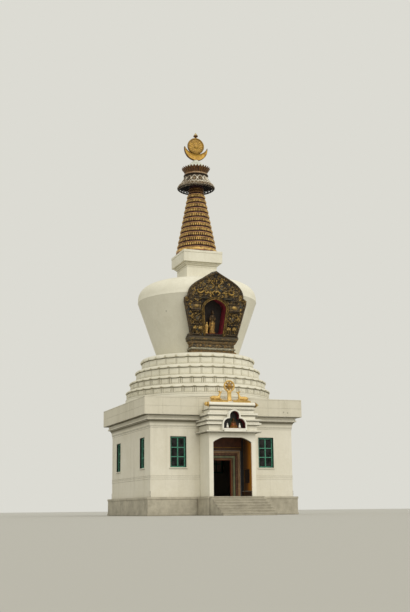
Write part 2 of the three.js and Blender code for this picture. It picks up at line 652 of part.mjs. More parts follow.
// Outline of the leaning shrine, in its own X and height above its foot
function shrineOutline(margin) {
  const shape = new THREE.Shape();
  const m = margin;
  shape.moveTo(-SHRINE_FOOT_HALF - m, -m).lineTo(SHRINE_FOOT_HALF + m, -m);
  shape.lineTo(SHRINE_EAR_HALF + m, SHRINE_EAR_LOW);
  shape.lineTo(SHRINE_EAR_HALF + m, SHRINE_EAR_TOP + m);
  shape.lineTo(SHRINE_SHOULDER_HALF + m, SHRINE_SHOULDER_Z);
  const side = [SHRINE_SHOULDER_HALF + m, SHRINE_SHOULDER_Z + SHRINE_SIDE_HANDLE];
  const tip = [SHRINE_TIP_HANDLE.x, SHRINE_TIP_Z - SHRINE_TIP_HANDLE.down];
  shape.bezierCurveTo(...side, ...tip, 0, SHRINE_TIP_Z + m);
  shape.bezierCurveTo(-tip[0], tip[1], -side[0], side[1], -SHRINE_SHOULDER_HALF - m, SHRINE_SHOULDER_Z);
  shape.lineTo(-SHRINE_EAR_HALF - m, SHRINE_EAR_TOP + m);
  shape.lineTo(-SHRINE_EAR_HALF - m, SHRINE_EAR_LOW);
  shape.closePath();
  return shape;
}

function shrineArch() {
  const shape = new THREE.Shape();
  shape.moveTo(-SHRINE_ARCH_FOOT_HALF, SHRINE_ARCH_BOTTOM).lineTo(SHRINE_ARCH_FOOT_HALF, SHRINE_ARCH_BOTTOM);
  shape.lineTo(SHRINE_ARCH_HALF, SHRINE_ARCH_SPRING);
  const handle = [SHRINE_ARCH_HALF - ARCH_HANDLE.in, SHRINE_ARCH_TIP - ARCH_HANDLE.down];
  shape.quadraticCurveTo(...handle, 0, SHRINE_ARCH_TIP);
  shape.quadraticCurveTo(-handle[0], handle[1], -SHRINE_ARCH_HALF, SHRINE_ARCH_SPRING);
  shape.closePath();
  return shape;
}

// Leans a piece out with the dome about the shrine's foot
function leanOut(geometry) {
  return geometry.rotateX(SHRINE_LEAN).translate(0, -SHRINE_FOOT_FRONT, SHRINE_FOOT_Z);
}

// Room that the leaning frame takes, with its gap and some reach to the front
function shrineRoom() {
  return leanOut(slabFrom(shrineOutline(GAP), -CUTTER_REACH, SHRINE_DEPTH + CUTTER_REACH + GAP));
}

function domeOutline(shoulderPoints) {
  const foot = LOTUS_TIERS.at(-1).top;
  const outline = [[0, foot], [DOME_BASE_R, foot], [DOME_CREASE_R, DOME_CREASE_Z]];
  for (let i = 1; i <= shoulderPoints; i += 1) {
    const angle = (i / shoulderPoints) * (Math.PI / 2);
    const c = i === shoulderPoints ? 0 : Math.cos(angle);
    outline.push([
      DOME_TOP_R + (DOME_CREASE_R - DOME_TOP_R) * c ** SHOULDER_POWER_R,
      DOME_CREASE_Z + (DOME_TOP_Z - DOME_CREASE_Z) * Math.sin(angle) ** SHOULDER_POWER_Z,
    ]);
  }
  outline.push([0, DOME_TOP_Z]);
  return outline;
}

function buildDome() {
  const { half, front } = PEDESTAL_CORNICE;
  const back = -PEDESTAL_BACK + GAP;
  const pedestalRoom = box(
    -half - GAP, half + GAP, -front - CUTTER_REACH, back, LOTUS_TIERS.at(-1).top - GAP, SHRINE_FOOT_Z + GAP,
  );
  const foot = SHRINE_FOOT_HALF + GAP;
  const wedgeRoom = box(-foot, foot, -front - CUTTER_REACH, back, SHRINE_FOOT_Z, WEDGE_TOP + GAP);
  const neck = NECK_HALF + GAP;
  const neckRoom = box(-neck, neck, -neck, neck, NECK_BOTTOM - GAP, DOME_TOP_Z + GAP);
  const dome = turned(domeOutline(9), 56);
  addPiece('dome', cut(dome, [shrineRoom(), pedestalRoom, wedgeRoom, neckRoom]), 'limewash');
}

// Pedestal, with a wedge on top that fills the room under the leaning frame
function buildPedestal() {
  const base = PEDESTAL_BASE;
  const cornice = PEDESTAL_CORNICE;
  const foot = SHRINE_FOOT_HALF;
  const pedestal = join([
    box(-base.half, base.half, -base.front, -PEDESTAL_BACK, LOTUS_TIERS.at(-1).top, base.top),
    box(-cornice.half, cornice.half, -cornice.front, -PEDESTAL_BACK, base.top, cornice.top),
    box(-foot, foot, -SHRINE_FOOT_FRONT, -PEDESTAL_BACK, cornice.top, WEDGE_TOP),
  ]);
  addPiece('shrine_pedestal', cut(pedestal, [shrineRoom()]), 'bronze');
}

// Standing figure in long robes on a square block, in the recess of the leaning frame
function standingFigure({ x, y, height, base, robe, trunk, head }) {
  const floor = SHRINE_ARCH_BOTTOM + GAP;
  const [halfX, halfY, blockHeight] = base;
  const block = box(x - halfX, x + halfX, y - halfY, y + halfY, floor, floor + blockHeight);
  const z = [0.9 * blockHeight, robe.z * height, trunk.z * height, head.z * height].map((up) => floor + up);
  return leanOut(join([
    block,
    bar([x, y, z[0]], [x, y, z[1]], ...robe.r),
    bar([x, y, z[1] - 0.1 * blockHeight], [x, y, z[2]], ...trunk.r),
    ellipsoid(x, y, z[3], head.half),
  ]));
}

function buildShrine() {
  const body = slabFrom(shrineOutline(0), 0, SHRINE_DEPTH);
  const arch = slabFrom(shrineArch(), -CUTTER_REACH, SHRINE_RECESS + CUTTER_REACH);
  addPiece('shrine_frame', leanOut(cut(body, [arch])), 'bronze');
  addPiece('shrine_statue', standingFigure(STATUE), 'bronze');
  addPiece('shrine_attendant', standingFigure(ATTENDANT), 'gilt');
}

function buildHarmika() {
  const neck = squareTurned([
    [0, NECK_BOTTOM], [NECK_HALF, NECK_BOTTOM], [NECK_HALF, NECK_MOULD_Z], [NECK_MOULD_HALF, NECK_MOULD_Z],
    [NECK_MOULD_HALF, SLAB_BOTTOM], [0, SLAB_BOTTOM],
  ]);
  addPiece('harmika_neck', neck, 'limewash');
  const half = SLAB_HALF;
  addPiece('harmika_slab', box(-half, half, -half, half, SLAB_BOTTOM, SLAB_TOP), 'limewash');
}

function buildSpire() {
  const outline = [[0, SLAB_TOP]];
  for (let i = 0; i < RING_COUNT; i += 1) {
    const z0 = SLAB_TOP + i * RING_PITCH + (i > 0 ? LOWEST_RING_EXTRA : 0);
    const next = SLAB_TOP + (i + 1) * RING_PITCH + LOWEST_RING_EXTRA;
    const z1 = next - RING_GROOVE_HEIGHT;
    const r0 = RING_BOTTOM_R - RING_TAPER * (z0 - SLAB_TOP);
    const r1 = RING_BOTTOM_R - RING_TAPER * (z1 - SLAB_TOP);
    outline.push([r0, z0], [r1, z1], [r1 - RING_GROOVE, next]);
  }
  const ringsTop = SLAB_TOP + RING_COUNT * RING_PITCH + LOWEST_RING_EXTRA;
  outline.push([NARROW_RING.r, ringsTop], [NARROW_RING.r, NARROW_RING.top], [MAST_RADIUS, NARROW_RING.top]);
  outline.push([MAST_RADIUS, CANOPY_PLATE], [0, CANOPY_PLATE]);
  addPiece('spire_rings', turned(outline, 24), 'gilt');
}

// Skirt of sheet metal with a thick lip that turns in below, closed by a plate on top of the mast
function buildCanopy() {
  const [rimR, rimZ] = CANOPY_OUTLINE[0];
  const under = CANOPY_OUTLINE.slice(CANOPY_LIP_POINTS).reverse().map(
    ([r, z]) => [r - CANOPY_SKIN, Math.min(z - CANOPY_SKIN, CANOPY_PLATE)],
  );
  const lipInside = rimR - CANOPY_SKIN;
  const inside = [[0, CANOPY_PLATE], ...under, [lipInside, rimZ + 2 * CANOPY_SKIN], [lipInside, rimZ]];
  addPiece('canopy_skirt', turned([...inside, ...CANOPY_OUTLINE, [0, CANOPY_TOP]], 32), 'silver');
  addPiece('canopy_crown', turned([[0, CANOPY_TOP], ...CROWN_OUTLINE, [0, CROWN_FLOOR]], 32), 'bronze');
  const cone = [[0, CROWN_FLOOR], ...CONE_OUTLINE, [0, CONE_OUTLINE.at(-1)[1]]];
  addPiece('finial_cone', turned(cone, 24), 'limewash');
}

function buildFinial() {
  // Horn tips lie where the outer and inner circles of the crescent cross
  const rise = MOON_INNER_Z - MOON_Z;
  const tipZ = (MOON_OUTER_R ** 2 - MOON_INNER_R ** 2 + rise ** 2) / (2 * rise);
  const tipX = Math.sqrt(MOON_OUTER_R ** 2 - tipZ ** 2);
  const outerAngle = Math.atan2(tipZ, tipX);
  const innerAngle = Math.atan2(tipZ - rise, tipX);
  const moon = new THREE.Shape();
  moon.absarc(0, MOON_Z, MOON_OUTER_R, Math.PI - outerAngle, 2 * Math.PI + outerAngle, false);
  moon.absarc(0, MOON_INNER_Z, MOON_INNER_R, innerAngle, Math.PI - innerAngle, true);
  moon.closePath();
  addPiece('moon_crescent', slabFrom(moon, -MOON_THICKNESS / 2, MOON_THICKNESS, 16), 'gilt');

  const half = SUN_THICKNESS / 2;
  const sunZ = MOON_INNER_Z - MOON_INNER_R + SUN_R + GAP;
  const lens = turned([
    [0, -half], [0.6 * SUN_R, -0.75 * half], [SUN_R, 0], [0.6 * SUN_R, 0.75 * half], [0, half],
  ], 32).rotateX(Math.PI / 2).translate(0, 0, sunZ);
  addPiece('sun_disc', lens, 'gilt');

  const foot = sunZ + SUN_R + GAP;
  const side = JEWEL_OUTLINE.map(([r, up]) => [r, foot + up * JEWEL_HEIGHT]);
  addPiece('jewel', turned([[0, foot], ...side, [0, foot + JEWEL_HEIGHT]], 20), 'gilt');
}

buildPlatform();
buildWalls();
buildWindows();
buildDoorFrame();
buildRoof();
buildPorch();
buildEntablature();
buildNiche();
buildPedimentBar();
buildWheel();
buildDeer('deer_left', -1);
buildDeer('deer_right', 1);
buildLotus();
buildDome();
buildPedestal();
buildShrine();
buildHarmika();
buildSpire();
buildCanopy();
buildFinial();

export default stupa;
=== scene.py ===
"""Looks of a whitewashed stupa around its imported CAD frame. Metres, +Z up, the porch faces -Y."""
import math
import random

import bmesh
import bpy
import numpy as np
from mathutils import Matrix, Vector


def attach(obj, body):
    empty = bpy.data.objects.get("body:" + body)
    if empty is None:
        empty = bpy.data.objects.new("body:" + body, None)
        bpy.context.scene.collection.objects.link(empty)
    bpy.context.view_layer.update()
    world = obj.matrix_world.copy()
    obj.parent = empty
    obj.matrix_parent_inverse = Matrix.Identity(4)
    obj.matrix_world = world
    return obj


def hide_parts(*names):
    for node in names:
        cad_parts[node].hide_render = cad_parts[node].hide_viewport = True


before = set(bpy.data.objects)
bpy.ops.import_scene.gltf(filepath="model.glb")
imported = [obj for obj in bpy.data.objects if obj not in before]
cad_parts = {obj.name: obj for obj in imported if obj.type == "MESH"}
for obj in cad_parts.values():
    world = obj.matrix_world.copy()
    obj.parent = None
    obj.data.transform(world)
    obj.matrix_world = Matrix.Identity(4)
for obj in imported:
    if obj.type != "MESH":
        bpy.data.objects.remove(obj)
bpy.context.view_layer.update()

TAU = 2 * math.pi
TO_FRONT = Matrix.Rotation(math.pi / 2, 4, "X")
TO_SIDE = Matrix.Rotation(math.pi / 2, 4, "Y")

# Hall
FLOOR_Z = 1.05
PLINTH_HALF = 4.7
PORCH_FLOOR_HALF, PORCH_FLOOR_FRONT = 1.7, 6.6
WALL_HALF = 4.45
WALL_INSIDE = 4.1
WINDOW_X = 2.76
WINDOW_HALF = 0.465
WINDOW_SILL, WINDOW_HEAD = 2.75, 4.52
WINDOW_SETBACK = 0.09
CORNICE_TOP = 5.78
PARAPET_HALF = 4.9498
PARAPET_TOP = 6.8

# Porch
PORCH_HALF = 1.43
PORCH_INSIDE = 1.18
ENTABLATURE_TOP = 6.17
ORNAMENT_Y = -5.67

# Spire
SPIRE_BOTTOM = 16.742
FIRST_LINE = 17.134
RING_PITCH = 0.343
RING_COUNT = 12
RING_FOOT_R = 1.36
RING_TAPER = 0.1935

# Camera: eye, aim and focal length worked out for a frame of 410 by 612
EYE = Vector((-20.756, -60.321, 0.305))
YAW, PITCH, ROLL = (math.radians(a) for a in (19.455, 11.533, -0.573))
FOCAL_PIXELS = 1000
FRAME_HEIGHT = 612
SENSOR = 36


# Node materials, each kept in LOOKS under its own name
LOOKS = {}


def linear(colour, share=1.0):
    """Linear colour with alpha from 0 to 255 sRGB values, times a share. Four values are linear already."""
    if len(colour) == 4:
        return colour
    parts = [v / 255 for v in colour]
    return (*(share * (v / 12.92 if v <= 0.04045 else ((v + 0.055) / 1.055) ** 2.4) for v in parts), 1.0)


class Look:
    """A procedural material that is put together step by step in object coordinates."""

    def __init__(self, name):
        self.material = LOOKS[name] = bpy.data.materials.new(name)
        self.material.use_nodes = True
        self.tree = self.material.node_tree
        self.shader = self.tree.nodes["Principled BSDF"]
        self.place = self.add("TexCoord").outputs["Object"]

    def add(self, kind, inputs=None, **settings):
        made = self.tree.nodes.new("ShaderNode" + kind)
        for key, value in settings.items():
            setattr(made, key, value)
        self.fill(made, inputs or {})
        return made

    def fill(self, node, inputs):
        for key, value in inputs.items():
            if isinstance(value, bpy.types.NodeSocket):
                self.tree.links.new(value, node.inputs[key])
            else:
                node.inputs[key].default_value = value

    def stretched(self, scale):
        return self.add("Mapping", {"Vector": self.place, "Scale": scale}).outputs[0]

    def noise(self, scale, detail=4.0, roughness=0.55, vector=None):
        inputs = {"Vector": vector or self.place, "Scale": scale, "Detail": detail, "Roughness": roughness}
        return self.add("TexNoise", inputs).outputs["Fac"]

    def between(self, value, low, high, start=0.0, end=1.0):
        inputs = {"Value": value, "From Min": low, "From Max": high, "To Min": start, "To Max": end}
        return self.add("MapRange", inputs).outputs[0]

    def patches(self, noise, low, high, start=0.0, end=1.0):
        """Values from start to end in a noise of the given scale, detail and roughness."""
        return self.between(self.noise(*noise), low, high, start, end)

    def math(self, kind, first, second):
        return self.add("Math", {0: first, 1: second}, operation=kind).outputs[0]

    def mix(self, amount, first, second):
        if not isinstance(second, bpy.types.NodeSocket):
            second = linear(second)
        return self.add("Mix", {0: amount, 6: first, 7: second}, data_type="RGBA").outputs[2]

    def shade(self, amount, stops):
        """Colour along a ramp of (position, colour) stops."""
        ramp = self.add("ValToRGB", {"Fac": amount})
        points = ramp.color_ramp.elements
        while len(points) < len(stops):
            points.new(1.0)
        for point, (position, colour) in zip(points, stops):
            point.position = position
            point.color = linear(colour)
        return ramp.outputs["Color"]

    def axis(self, letter):
        return self.add("SeparateXYZ", {0: self.place}).outputs[letter]

    def near(self, centre, reach, soft):
        """1 closer to a point than the reach, falling to 0 over the soft distance."""
        away = self.add("VectorMath", {0: self.place, 1: centre}, operation="DISTANCE")
        return self.between(away.outputs["Value"], reach, reach + soft, 1.0, 0.0)

    def attribute(self, name):
        return self.add("Attribute", attribute_name=name).outputs["Fac"]

    def dirt_and_shade_in_corners(self, colour, dirt_and_shade, reach, low, high, amount):
        """Dirt and painted shade in corners that are closer than the reach."""
        hollow = self.add("AmbientOcclusion", {"Distance": reach}, samples=6).outputs["AO"]
        return self.mix(self.between(hollow, low, high, amount, 0.0), colour, dirt_and_shade)

    def under(self, start, end):
        """0 on upright and upper faces, rising to 1 on faces that look down: where painted shade goes on
        undersides.
        """
        normal = self.add("NewGeometry").outputs["Normal"]
        return self.between(self.add("SeparateXYZ", {0: normal}).outputs["Z"], start, end)

    def bump(self, height, distance, below=None):
        inputs = {"Height": height, "Distance": distance, "Strength": 1.0}
        if below is not None:
            inputs["Normal"] = below
        return self.add("Bump", inputs).outputs[0]

    def finish(self, colour, roughness, metallic=0.0, normal=None):
        inputs = {"Base Color": colour, "Roughness": roughness, "Metallic": metallic}
        if normal is not None:
            inputs["Normal"] = normal
        self.fill(self.shader, inputs)


def plaster(name, light, dark, stain_and_shade, streaks=0.5, corners=0.45, spots=(), crease_shade=0.62, under=0.3, inside_shade=0.0):
    """Lime plaster or render with soft blotches, rain streaks, dirt and painted shade in corners, and painted
    shade on undersides and in thin creases. A last setting darkens the side that faces the inside of the hall
    at the back: painted shade of the dim hall."""
    look = Look(name)
    fine = look.noise(6.0, 6, 0.65)
    tone = look.math("ADD", look.math("MULTIPLY", look.noise(0.55, 5, 0.6), 0.65),
                     look.math("MULTIPLY", fine, 0.35))
    colour = look.shade(tone, [(0.3, dark), (0.62, light)])
    rain = look.between(look.noise(1.0, 5, 0.6, look.stretched((2.6, 2.6, 0.09))), 0.5, 0.78)
    wet = look.math("MULTIPLY", rain, look.patches((0.35, 3), 0.36, 0.62))
    colour = look.mix(look.math("MULTIPLY", wet, streaks), colour, stain_and_shade)
    # Dirt and painted shade in corners, and painted shade on faces that look down and in thin creases
    colour = look.dirt_and_shade_in_corners(colour, stain_and_shade, 0.16, 0.3, 0.85, corners)
    colour = look.mix(look.math("MULTIPLY", look.under(-0.1, -0.6), under), colour, linear(stain_and_shade, 0.36))
    colour = look.dirt_and_shade_in_corners(colour, linear(stain_and_shade, 0.35), 0.05, 0.12, 0.55, crease_shade)
    colour = look.mix(look.math("MULTIPLY", look.patches((38.0, 3), 0.66, 0.74), 0.12), colour, stain_and_shade)
    # Painted shade on the inner face of the back wall, where the hall is dim
    if inside_shade:
        inside = look.between(look.axis("Y"), WALL_INSIDE + 0.02, WALL_INSIDE + 0.06, inside_shade, 0.0)
        colour = look.mix(inside, colour, INSIDE_SHADE)
    for centre, reach in spots:
        mark = look.math("MULTIPLY", look.near(centre, reach * 0.4, reach), 0.55)
        colour = look.mix(mark, colour, linear(stain_and_shade, 0.35))
    normal = look.bump(look.noise(2.2, 6, 0.6), 0.012)
    normal = look.bump(look.noise(45.0, 4), 0.0018, normal)
    look.finish(colour, look.between(fine, 0.3, 0.7, 0.82, 0.95), normal=normal)


def gilding(name, bright, deep, dirt_and_shade, metallic=0.75, reach=0.05, rough=(0.28, 0.5), blotches=0.45):
    """Weathered gilding: bright on the high places, brown in the hollows from dirt and painted shade."""
    look = Look(name)
    worn = look.noise(5.0, 6, 0.65)
    colour = look.dirt_and_shade_in_corners(look.shade(worn, [(0.32, deep), (0.6, bright)]), dirt_and_shade, reach, 0.25, 0.8, 0.9)
    colour = look.mix(look.patches((14.0, 5, 0.7), 0.56, 0.72, 0.0, blotches), colour, dirt_and_shade)
    normal = look.bump(worn, 0.006, look.bump(look.noise(60.0, 4), 0.001))
    look.finish(colour, look.patches((22.0, 4), 0.3, 0.7, *rough), metallic, normal)


def paint(name, light, dark, dirt_and_shade, rough=(0.35, 0.55), grain=0.0015, painted_glow=None):
    """Brushed oil paint with a little fading, dirt, and dirt and painted shade in corners. An emission
    colour, if given, makes it shine by itself: painted light that stands for light coming through.
    """
    look = Look(name)
    colour = look.shade(look.noise(3.5, 5, 0.6), [(0.32, dark), (0.64, light)])
    colour = look.mix(look.patches((16.0, 5, 0.7), 0.6, 0.74, 0.0, 0.5), colour, dirt_and_shade)
    colour = look.dirt_and_shade_in_corners(colour, dirt_and_shade, 0.05, 0.3, 0.85, 0.55)
    brushed = look.noise(30.0, 4, 0.6, look.stretched((1.0, 1.0, 0.12)))
    look.finish(colour, look.patches((12.0, 4), 0.3, 0.7, *rough), normal=look.bump(brushed, grain))
    if painted_glow:
        look.fill(look.shader, {"Emission Color": linear(painted_glow), "Emission Strength": 1.0})


def painted(name, colour, rough=(0.5, 0.72)):
    """Flat paint on plaster or wood, from its fresh colour to a faded one and a dark one for dirt and painted
    shade in corners.
    """
    paint(name, colour, [c * 0.72 for c in colour], [c * 0.3 for c in colour], rough, 0.002)


def ringed_gilding(name):
    """Spire rings: ochre gold on the ribs, copper pink at each upper edge, maroon in the grooves."""
    look = Look(name)
    level = look.math("FRACT", look.math("DIVIDE", look.math("SUBTRACT", look.axis("Z"), FIRST_LINE),
                                         RING_PITCH), 0.0)
    worn = look.noise(4.0, 6, 0.65)
    ribs = look.shade(worn, [(0.34, (132, 104, 66)), (0.62, (230, 190, 112))])
    edge = look.shade(worn, [(0.3, (150, 96, 72)), (0.62, (190, 136, 104))])
    colour = look.mix(look.between(level, 0.62, 0.72), ribs, edge)
    # Maroon at the foot of each ring: the groove's colour carried onto the face that looks down, partly
    # painted shade
    colour = look.mix(look.between(level, 0.03, 0.11, 0.9, 0.0), colour, (74, 32, 36))
    # Darker in the rib valleys and under the rings: painted shade
    colour = look.dirt_and_shade_in_corners(colour, (60, 34, 26), 0.06, 0.3, 0.85, 0.92)
    normal = look.bump(look.noise(60.0, 4), 0.001)
    look.finish(colour, look.patches((22.0, 4), 0.3, 0.7, 0.34, 0.56), 0.4, normal)


def paving(name, light, dark, dirt_and_shade):
    look = Look(name)
    colour = look.shade(look.noise(1.6, 6, 0.65), [(0.3, dark), (0.65, light)])
    colour = look.dirt_and_shade_in_corners(colour, dirt_and_shade, 0.2, 0.3, 0.85, 0.5)
    look.finish(colour, 0.88, normal=look.bump(look.noise(24.0, 6, 0.7), 0.004))


def pane(name, tint, rough, alpha):
    """Nearly opaque glass, whose dark tint is painted shade of the room behind it, with a film of dust."""
    look = Look(name)
    dust = look.noise(2.5, 5, 0.7)
    dusty = (*(0.5 * c + 0.05 for c in linear(tint)[:3]), 1.0)
    look.fill(look.shader, {"Alpha": alpha, "IOR": 1.3, "Specular IOR Level": 0.15})
    gloss = look.between(dust, 0.3, 0.8, rough, rough + 0.12)
    look.finish(look.shade(dust, [(0.35, tint), (0.8, dusty)]), gloss,
                normal=look.bump(look.noise(3.0, 3), 0.004))


def relief_metal(name, patina, brown, gold, tint, unrest=0.28):
    """Cast or beaten bronze whose gilding follows the piece's own gilt and tint values."""
    look = Look(name)
    gilt = look.math("ADD", look.attribute("gilt"), look.patches((9.0, 6, 0.7), 0.3, 0.7, -unrest, unrest))
    colour = look.shade(gilt, [(0.22, patina), (0.48, brown), (0.86, gold)])
    cool = look.math("MULTIPLY", look.attribute("tint"), look.patches((6.0, 5), 0.35, 0.6))
    colour = look.dirt_and_shade_in_corners(look.mix(cool, colour, tint), linear(patina, 0.3), 0.05, 0.25, 0.8, 0.8)
    gloss = look.patches((26.0, 4), 0.3, 0.7, 0.4, 0.62)
    look.finish(colour, gloss, look.between(gilt, 0.3, 0.9, 0.25, 0.7),
                look.bump(look.noise(40.0, 5, 0.7), 0.003))


def mottled(name, tones, scale=5.5, grain=16.0):
    """Old painted and gilded metal: patches of several tones with fine specks, dark in its corners from dirt
    and painted shade.
    """
    look = Look(name)
    patches = look.noise(scale, 5, 0.75, look.stretched((1.0, 1.0, 2.2)))
    specks = look.math("MULTIPLY", look.noise(grain, 5, 0.8), 0.3)
    tone = look.math("ADD", look.math("MULTIPLY", patches, 0.7), specks)
    colour = look.shade(tone, [(0.36 + 0.26 * k / (len(tones) - 1), t) for k, t in enumerate(tones)])
    colour = look.dirt_and_shade_in_corners(colour, (22, 17, 12), 0.06, 0.25, 0.8, 0.85)
    gloss = look.between(patches, 0.3, 0.7, 0.45, 0.7)
    look.finish(colour, gloss, 0.25, look.bump(look.noise(30.0, 5, 0.7), 0.004))


def two_tone(name, upper, lower, dirt_and_shade, level, soft):
    """Two tones that meet at a ragged height: bright low down and dark above."""
    look = Look(name)
    ragged = look.math("ADD", look.axis("Z"), look.patches((5.0, 5), 0.3, 0.7, -soft, soft))
    worn = look.noise(9.0, 5, 0.6)
    dark = look.shade(worn, [(0.3, dirt_and_shade), (0.7, upper)])
    bright = look.shade(worn, [(0.3, upper), (0.62, lower)])
    colour = look.mix(look.between(ragged, level - soft, level + soft), bright, dark)
    colour = look.dirt_and_shade_in_corners(colour, dirt_and_shade, 0.05, 0.25, 0.8, 0.85)
    look.finish(colour, look.between(worn, 0.3, 0.7, 0.35, 0.55), 0.55, look.bump(worn, 0.004))


def ochre_shaded_inwards(name):
    """Ochre wall paint with painted shade that turns it brown from the front of the porch towards the hall.
    """
    look = Look(name)
    ragged = look.math("ADD", look.axis("Y"), look.patches((4.0, 5), 0.3, 0.7, -0.06, 0.06))
    stops = [(0.0, (196, 128, 30)), (0.4, (164, 102, 28)), (0.62, (112, 72, 30)), (1.0, (76, 54, 32))]
    colour = look.shade(look.between(ragged, -5.95, -5.0), stops)
    colour = look.mix(look.patches((14.0, 5, 0.7), 0.58, 0.74, 0.0, 0.45), colour, (44, 28, 14))
    look.finish(colour, 0.6, normal=look.bump(look.noise(30.0, 4), 0.0015))


# Colour of the painted shade inside the hall
INSIDE_SHADE = (88, 76, 58)
LIME_STAIN_AND_SHADE = (158, 149, 120)
WALL_TONES = ((233, 228, 213), (220, 214, 195), (152, 143, 112), 0.25, 0.22)
DOME_SPOTS = [((-2.78, -2.15, 12.42), 0.06), ((-2.6, -2.28, 12.05), 0.035)]
PARAPET_SPOTS = [((3.76, -4.95, 6.03), 0.045), ((4.02, -4.95, 6.0), 0.045)]
MATT = (0.5, 0.7)

plaster("limewash", (236, 232, 216), (221, 216, 197), LIME_STAIN_AND_SHADE, 0.25)
plaster("tier_limewash", (236, 232, 216), (220, 215, 195), LIME_STAIN_AND_SHADE, 0.25, 0.25, crease_shade=0.42, under=0.05)
plaster("recess_shade_limewash", (184, 177, 150), (160, 152, 124), (112, 102, 76), 0.25, 0.4, under=0.4)
plaster("petal_gap_shade_limewash", (218, 212, 190), (200, 194, 170), LIME_STAIN_AND_SHADE, 0.25, 0.3, under=0.2)
plaster("dome_limewash", (240, 236, 219), (224, 219, 199), LIME_STAIN_AND_SHADE, 0.16, spots=DOME_SPOTS)
plaster("wall_render", *WALL_TONES, under=0.92)
plaster("back_wall_render", *WALL_TONES, under=0.92, inside_shade=0.5)
plaster("porch_white", (244, 240, 226), (232, 227, 210), (142, 132, 100), 0.25, 0.3, under=0.9)
plaster("rim_white", (248, 245, 234), (238, 234, 220), (170, 162, 138), 0.2)
plaster("parapet_render", (221, 215, 197), (206, 200, 180), (150, 142, 116), 0.45, spots=PARAPET_SPOTS)
plaster("cone_white", (222, 224, 210), (196, 200, 184), (120, 126, 106), 0.6)
gilding("gilding", (226, 190, 112), (186, 144, 74), (84, 54, 22), 0.4)
gilding("finial_gilding", (172, 134, 56), (118, 88, 34), (58, 38, 14), 0.45, 0.03, blotches=0.15)
gilding("crescent_gilding", (188, 148, 52), (140, 100, 32), (66, 44, 14), 0.4, 0.03, blotches=0.2)
gilding("finial_pale", (204, 184, 124), (168, 142, 84), (84, 62, 30), 0.4, 0.03)
gilding("deep_gilding", (170, 128, 54), (120, 86, 32), (56, 36, 14), 0.7)
gilding("brown_bronze", (122, 86, 48), (78, 50, 28), (28, 18, 10), 0.6)
gilding("dark_bronze_and_shade", (62, 46, 32), (38, 27, 18), (14, 10, 7), 0.5)
gilding("rib_valley_shade", (70, 46, 26), (46, 30, 18), (22, 13, 9), 0.3)
gilding("canopy_inside_shade", (34, 28, 30), (18, 14, 16), (8, 6, 7), 0.2, 0.03, (0.55, 0.8))
gilding("dark_patina", (62, 46, 34), (38, 29, 22), (16, 12, 9), 0.3, 0.06)
gilding("old_gold", (176, 132, 62), (118, 80, 36), (44, 28, 14), 0.6)
ringed_gilding("spire_gilding")
paving("paving", (194, 187, 168), (158, 151, 134), (92, 86, 70))
paint("maroon_groove", (62, 22, 30), (42, 16, 20), (20, 8, 10), MATT)
paint("teal_paint", (84, 158, 130), (60, 128, 104), (28, 62, 50))
paint("window_reveal_shade", (40, 62, 54), (24, 40, 35), (12, 16, 14))
paint("crimson_paint", (136, 42, 56), (96, 26, 36), (44, 14, 18), MATT)
# The dust film behind the panes shines a little by itself: painted light for daylight coming through
paint("pane_dust_painted_glow", (186, 176, 152), (160, 150, 126), (96, 86, 68), MATT, painted_glow=(9, 8, 6))
pane("window_glass", (16, 20, 17), 0.12, 0.95)
relief_metal("shrine_relief", (38, 33, 26), (80, 64, 41), (182, 150, 84), (68, 78, 78))
relief_metal("skirt_metal", (62, 50, 38), (142, 118, 84), (236, 230, 214), (118, 118, 106), 0.2)
mottled("shrine_cornice_metal", [(30, 24, 18), (60, 48, 33), (82, 66, 43), (66, 68, 58), (116, 92, 56)])
mottled("shrine_frieze_metal", [(46, 38, 26), (96, 74, 42), (78, 82, 68), (142, 112, 62), (168, 138, 84)])
mottled("shrine_course_metal", [(66, 54, 40), (108, 96, 72), (128, 126, 108), (164, 154, 128),
                                (204, 196, 174)])
mottled("shrine_base_metal", [(58, 42, 26), (112, 82, 44), (94, 88, 66), (146, 110, 58), (170, 134, 72)])
mottled("crown_ring_highlit_metal", [(140, 92, 52), (160, 116, 72), (186, 158, 122), (206, 186, 160)], 1.2, 9.0)
# The statue is dark above a height: painted shade in the recess
two_tone("statue_bronze", (96, 76, 50), (188, 148, 78), (34, 26, 18), 11.75, 0.2)
two_tone("seated_figure_paint", (112, 80, 42), (162, 84, 44), (42, 24, 16), 5.2, 0.04)
ochre_shaded_inwards("lining_ochre")
painted("recess_back_shade", (40, 32, 26), (0.6, 0.8))
PAINTS = {
    "band_red": (158, 74, 50), "band_orange": (120, 96, 52), "band_tan": (182, 146, 106),
    "band_green": (118, 134, 108), "band_olive": (150, 152, 112), "band_maroon": (110, 66, 46),
    "lining_blue": (52, 58, 66), "lining_brown": (74, 46, 26), "lining_dark_panel": (46, 30, 22),
    "lining_maroon": (92, 60, 34), "lining_red_brown": (104, 58, 34), "niche_maroon": (104, 24, 34),
    "niche_blue": (38, 36, 74), "niche_dark": (44, 38, 36), "niche_red": (112, 48, 40),
    "niche_green": (56, 66, 40)}
for paint_name, paint_colour in PAINTS.items():
    painted(paint_name, paint_colour)


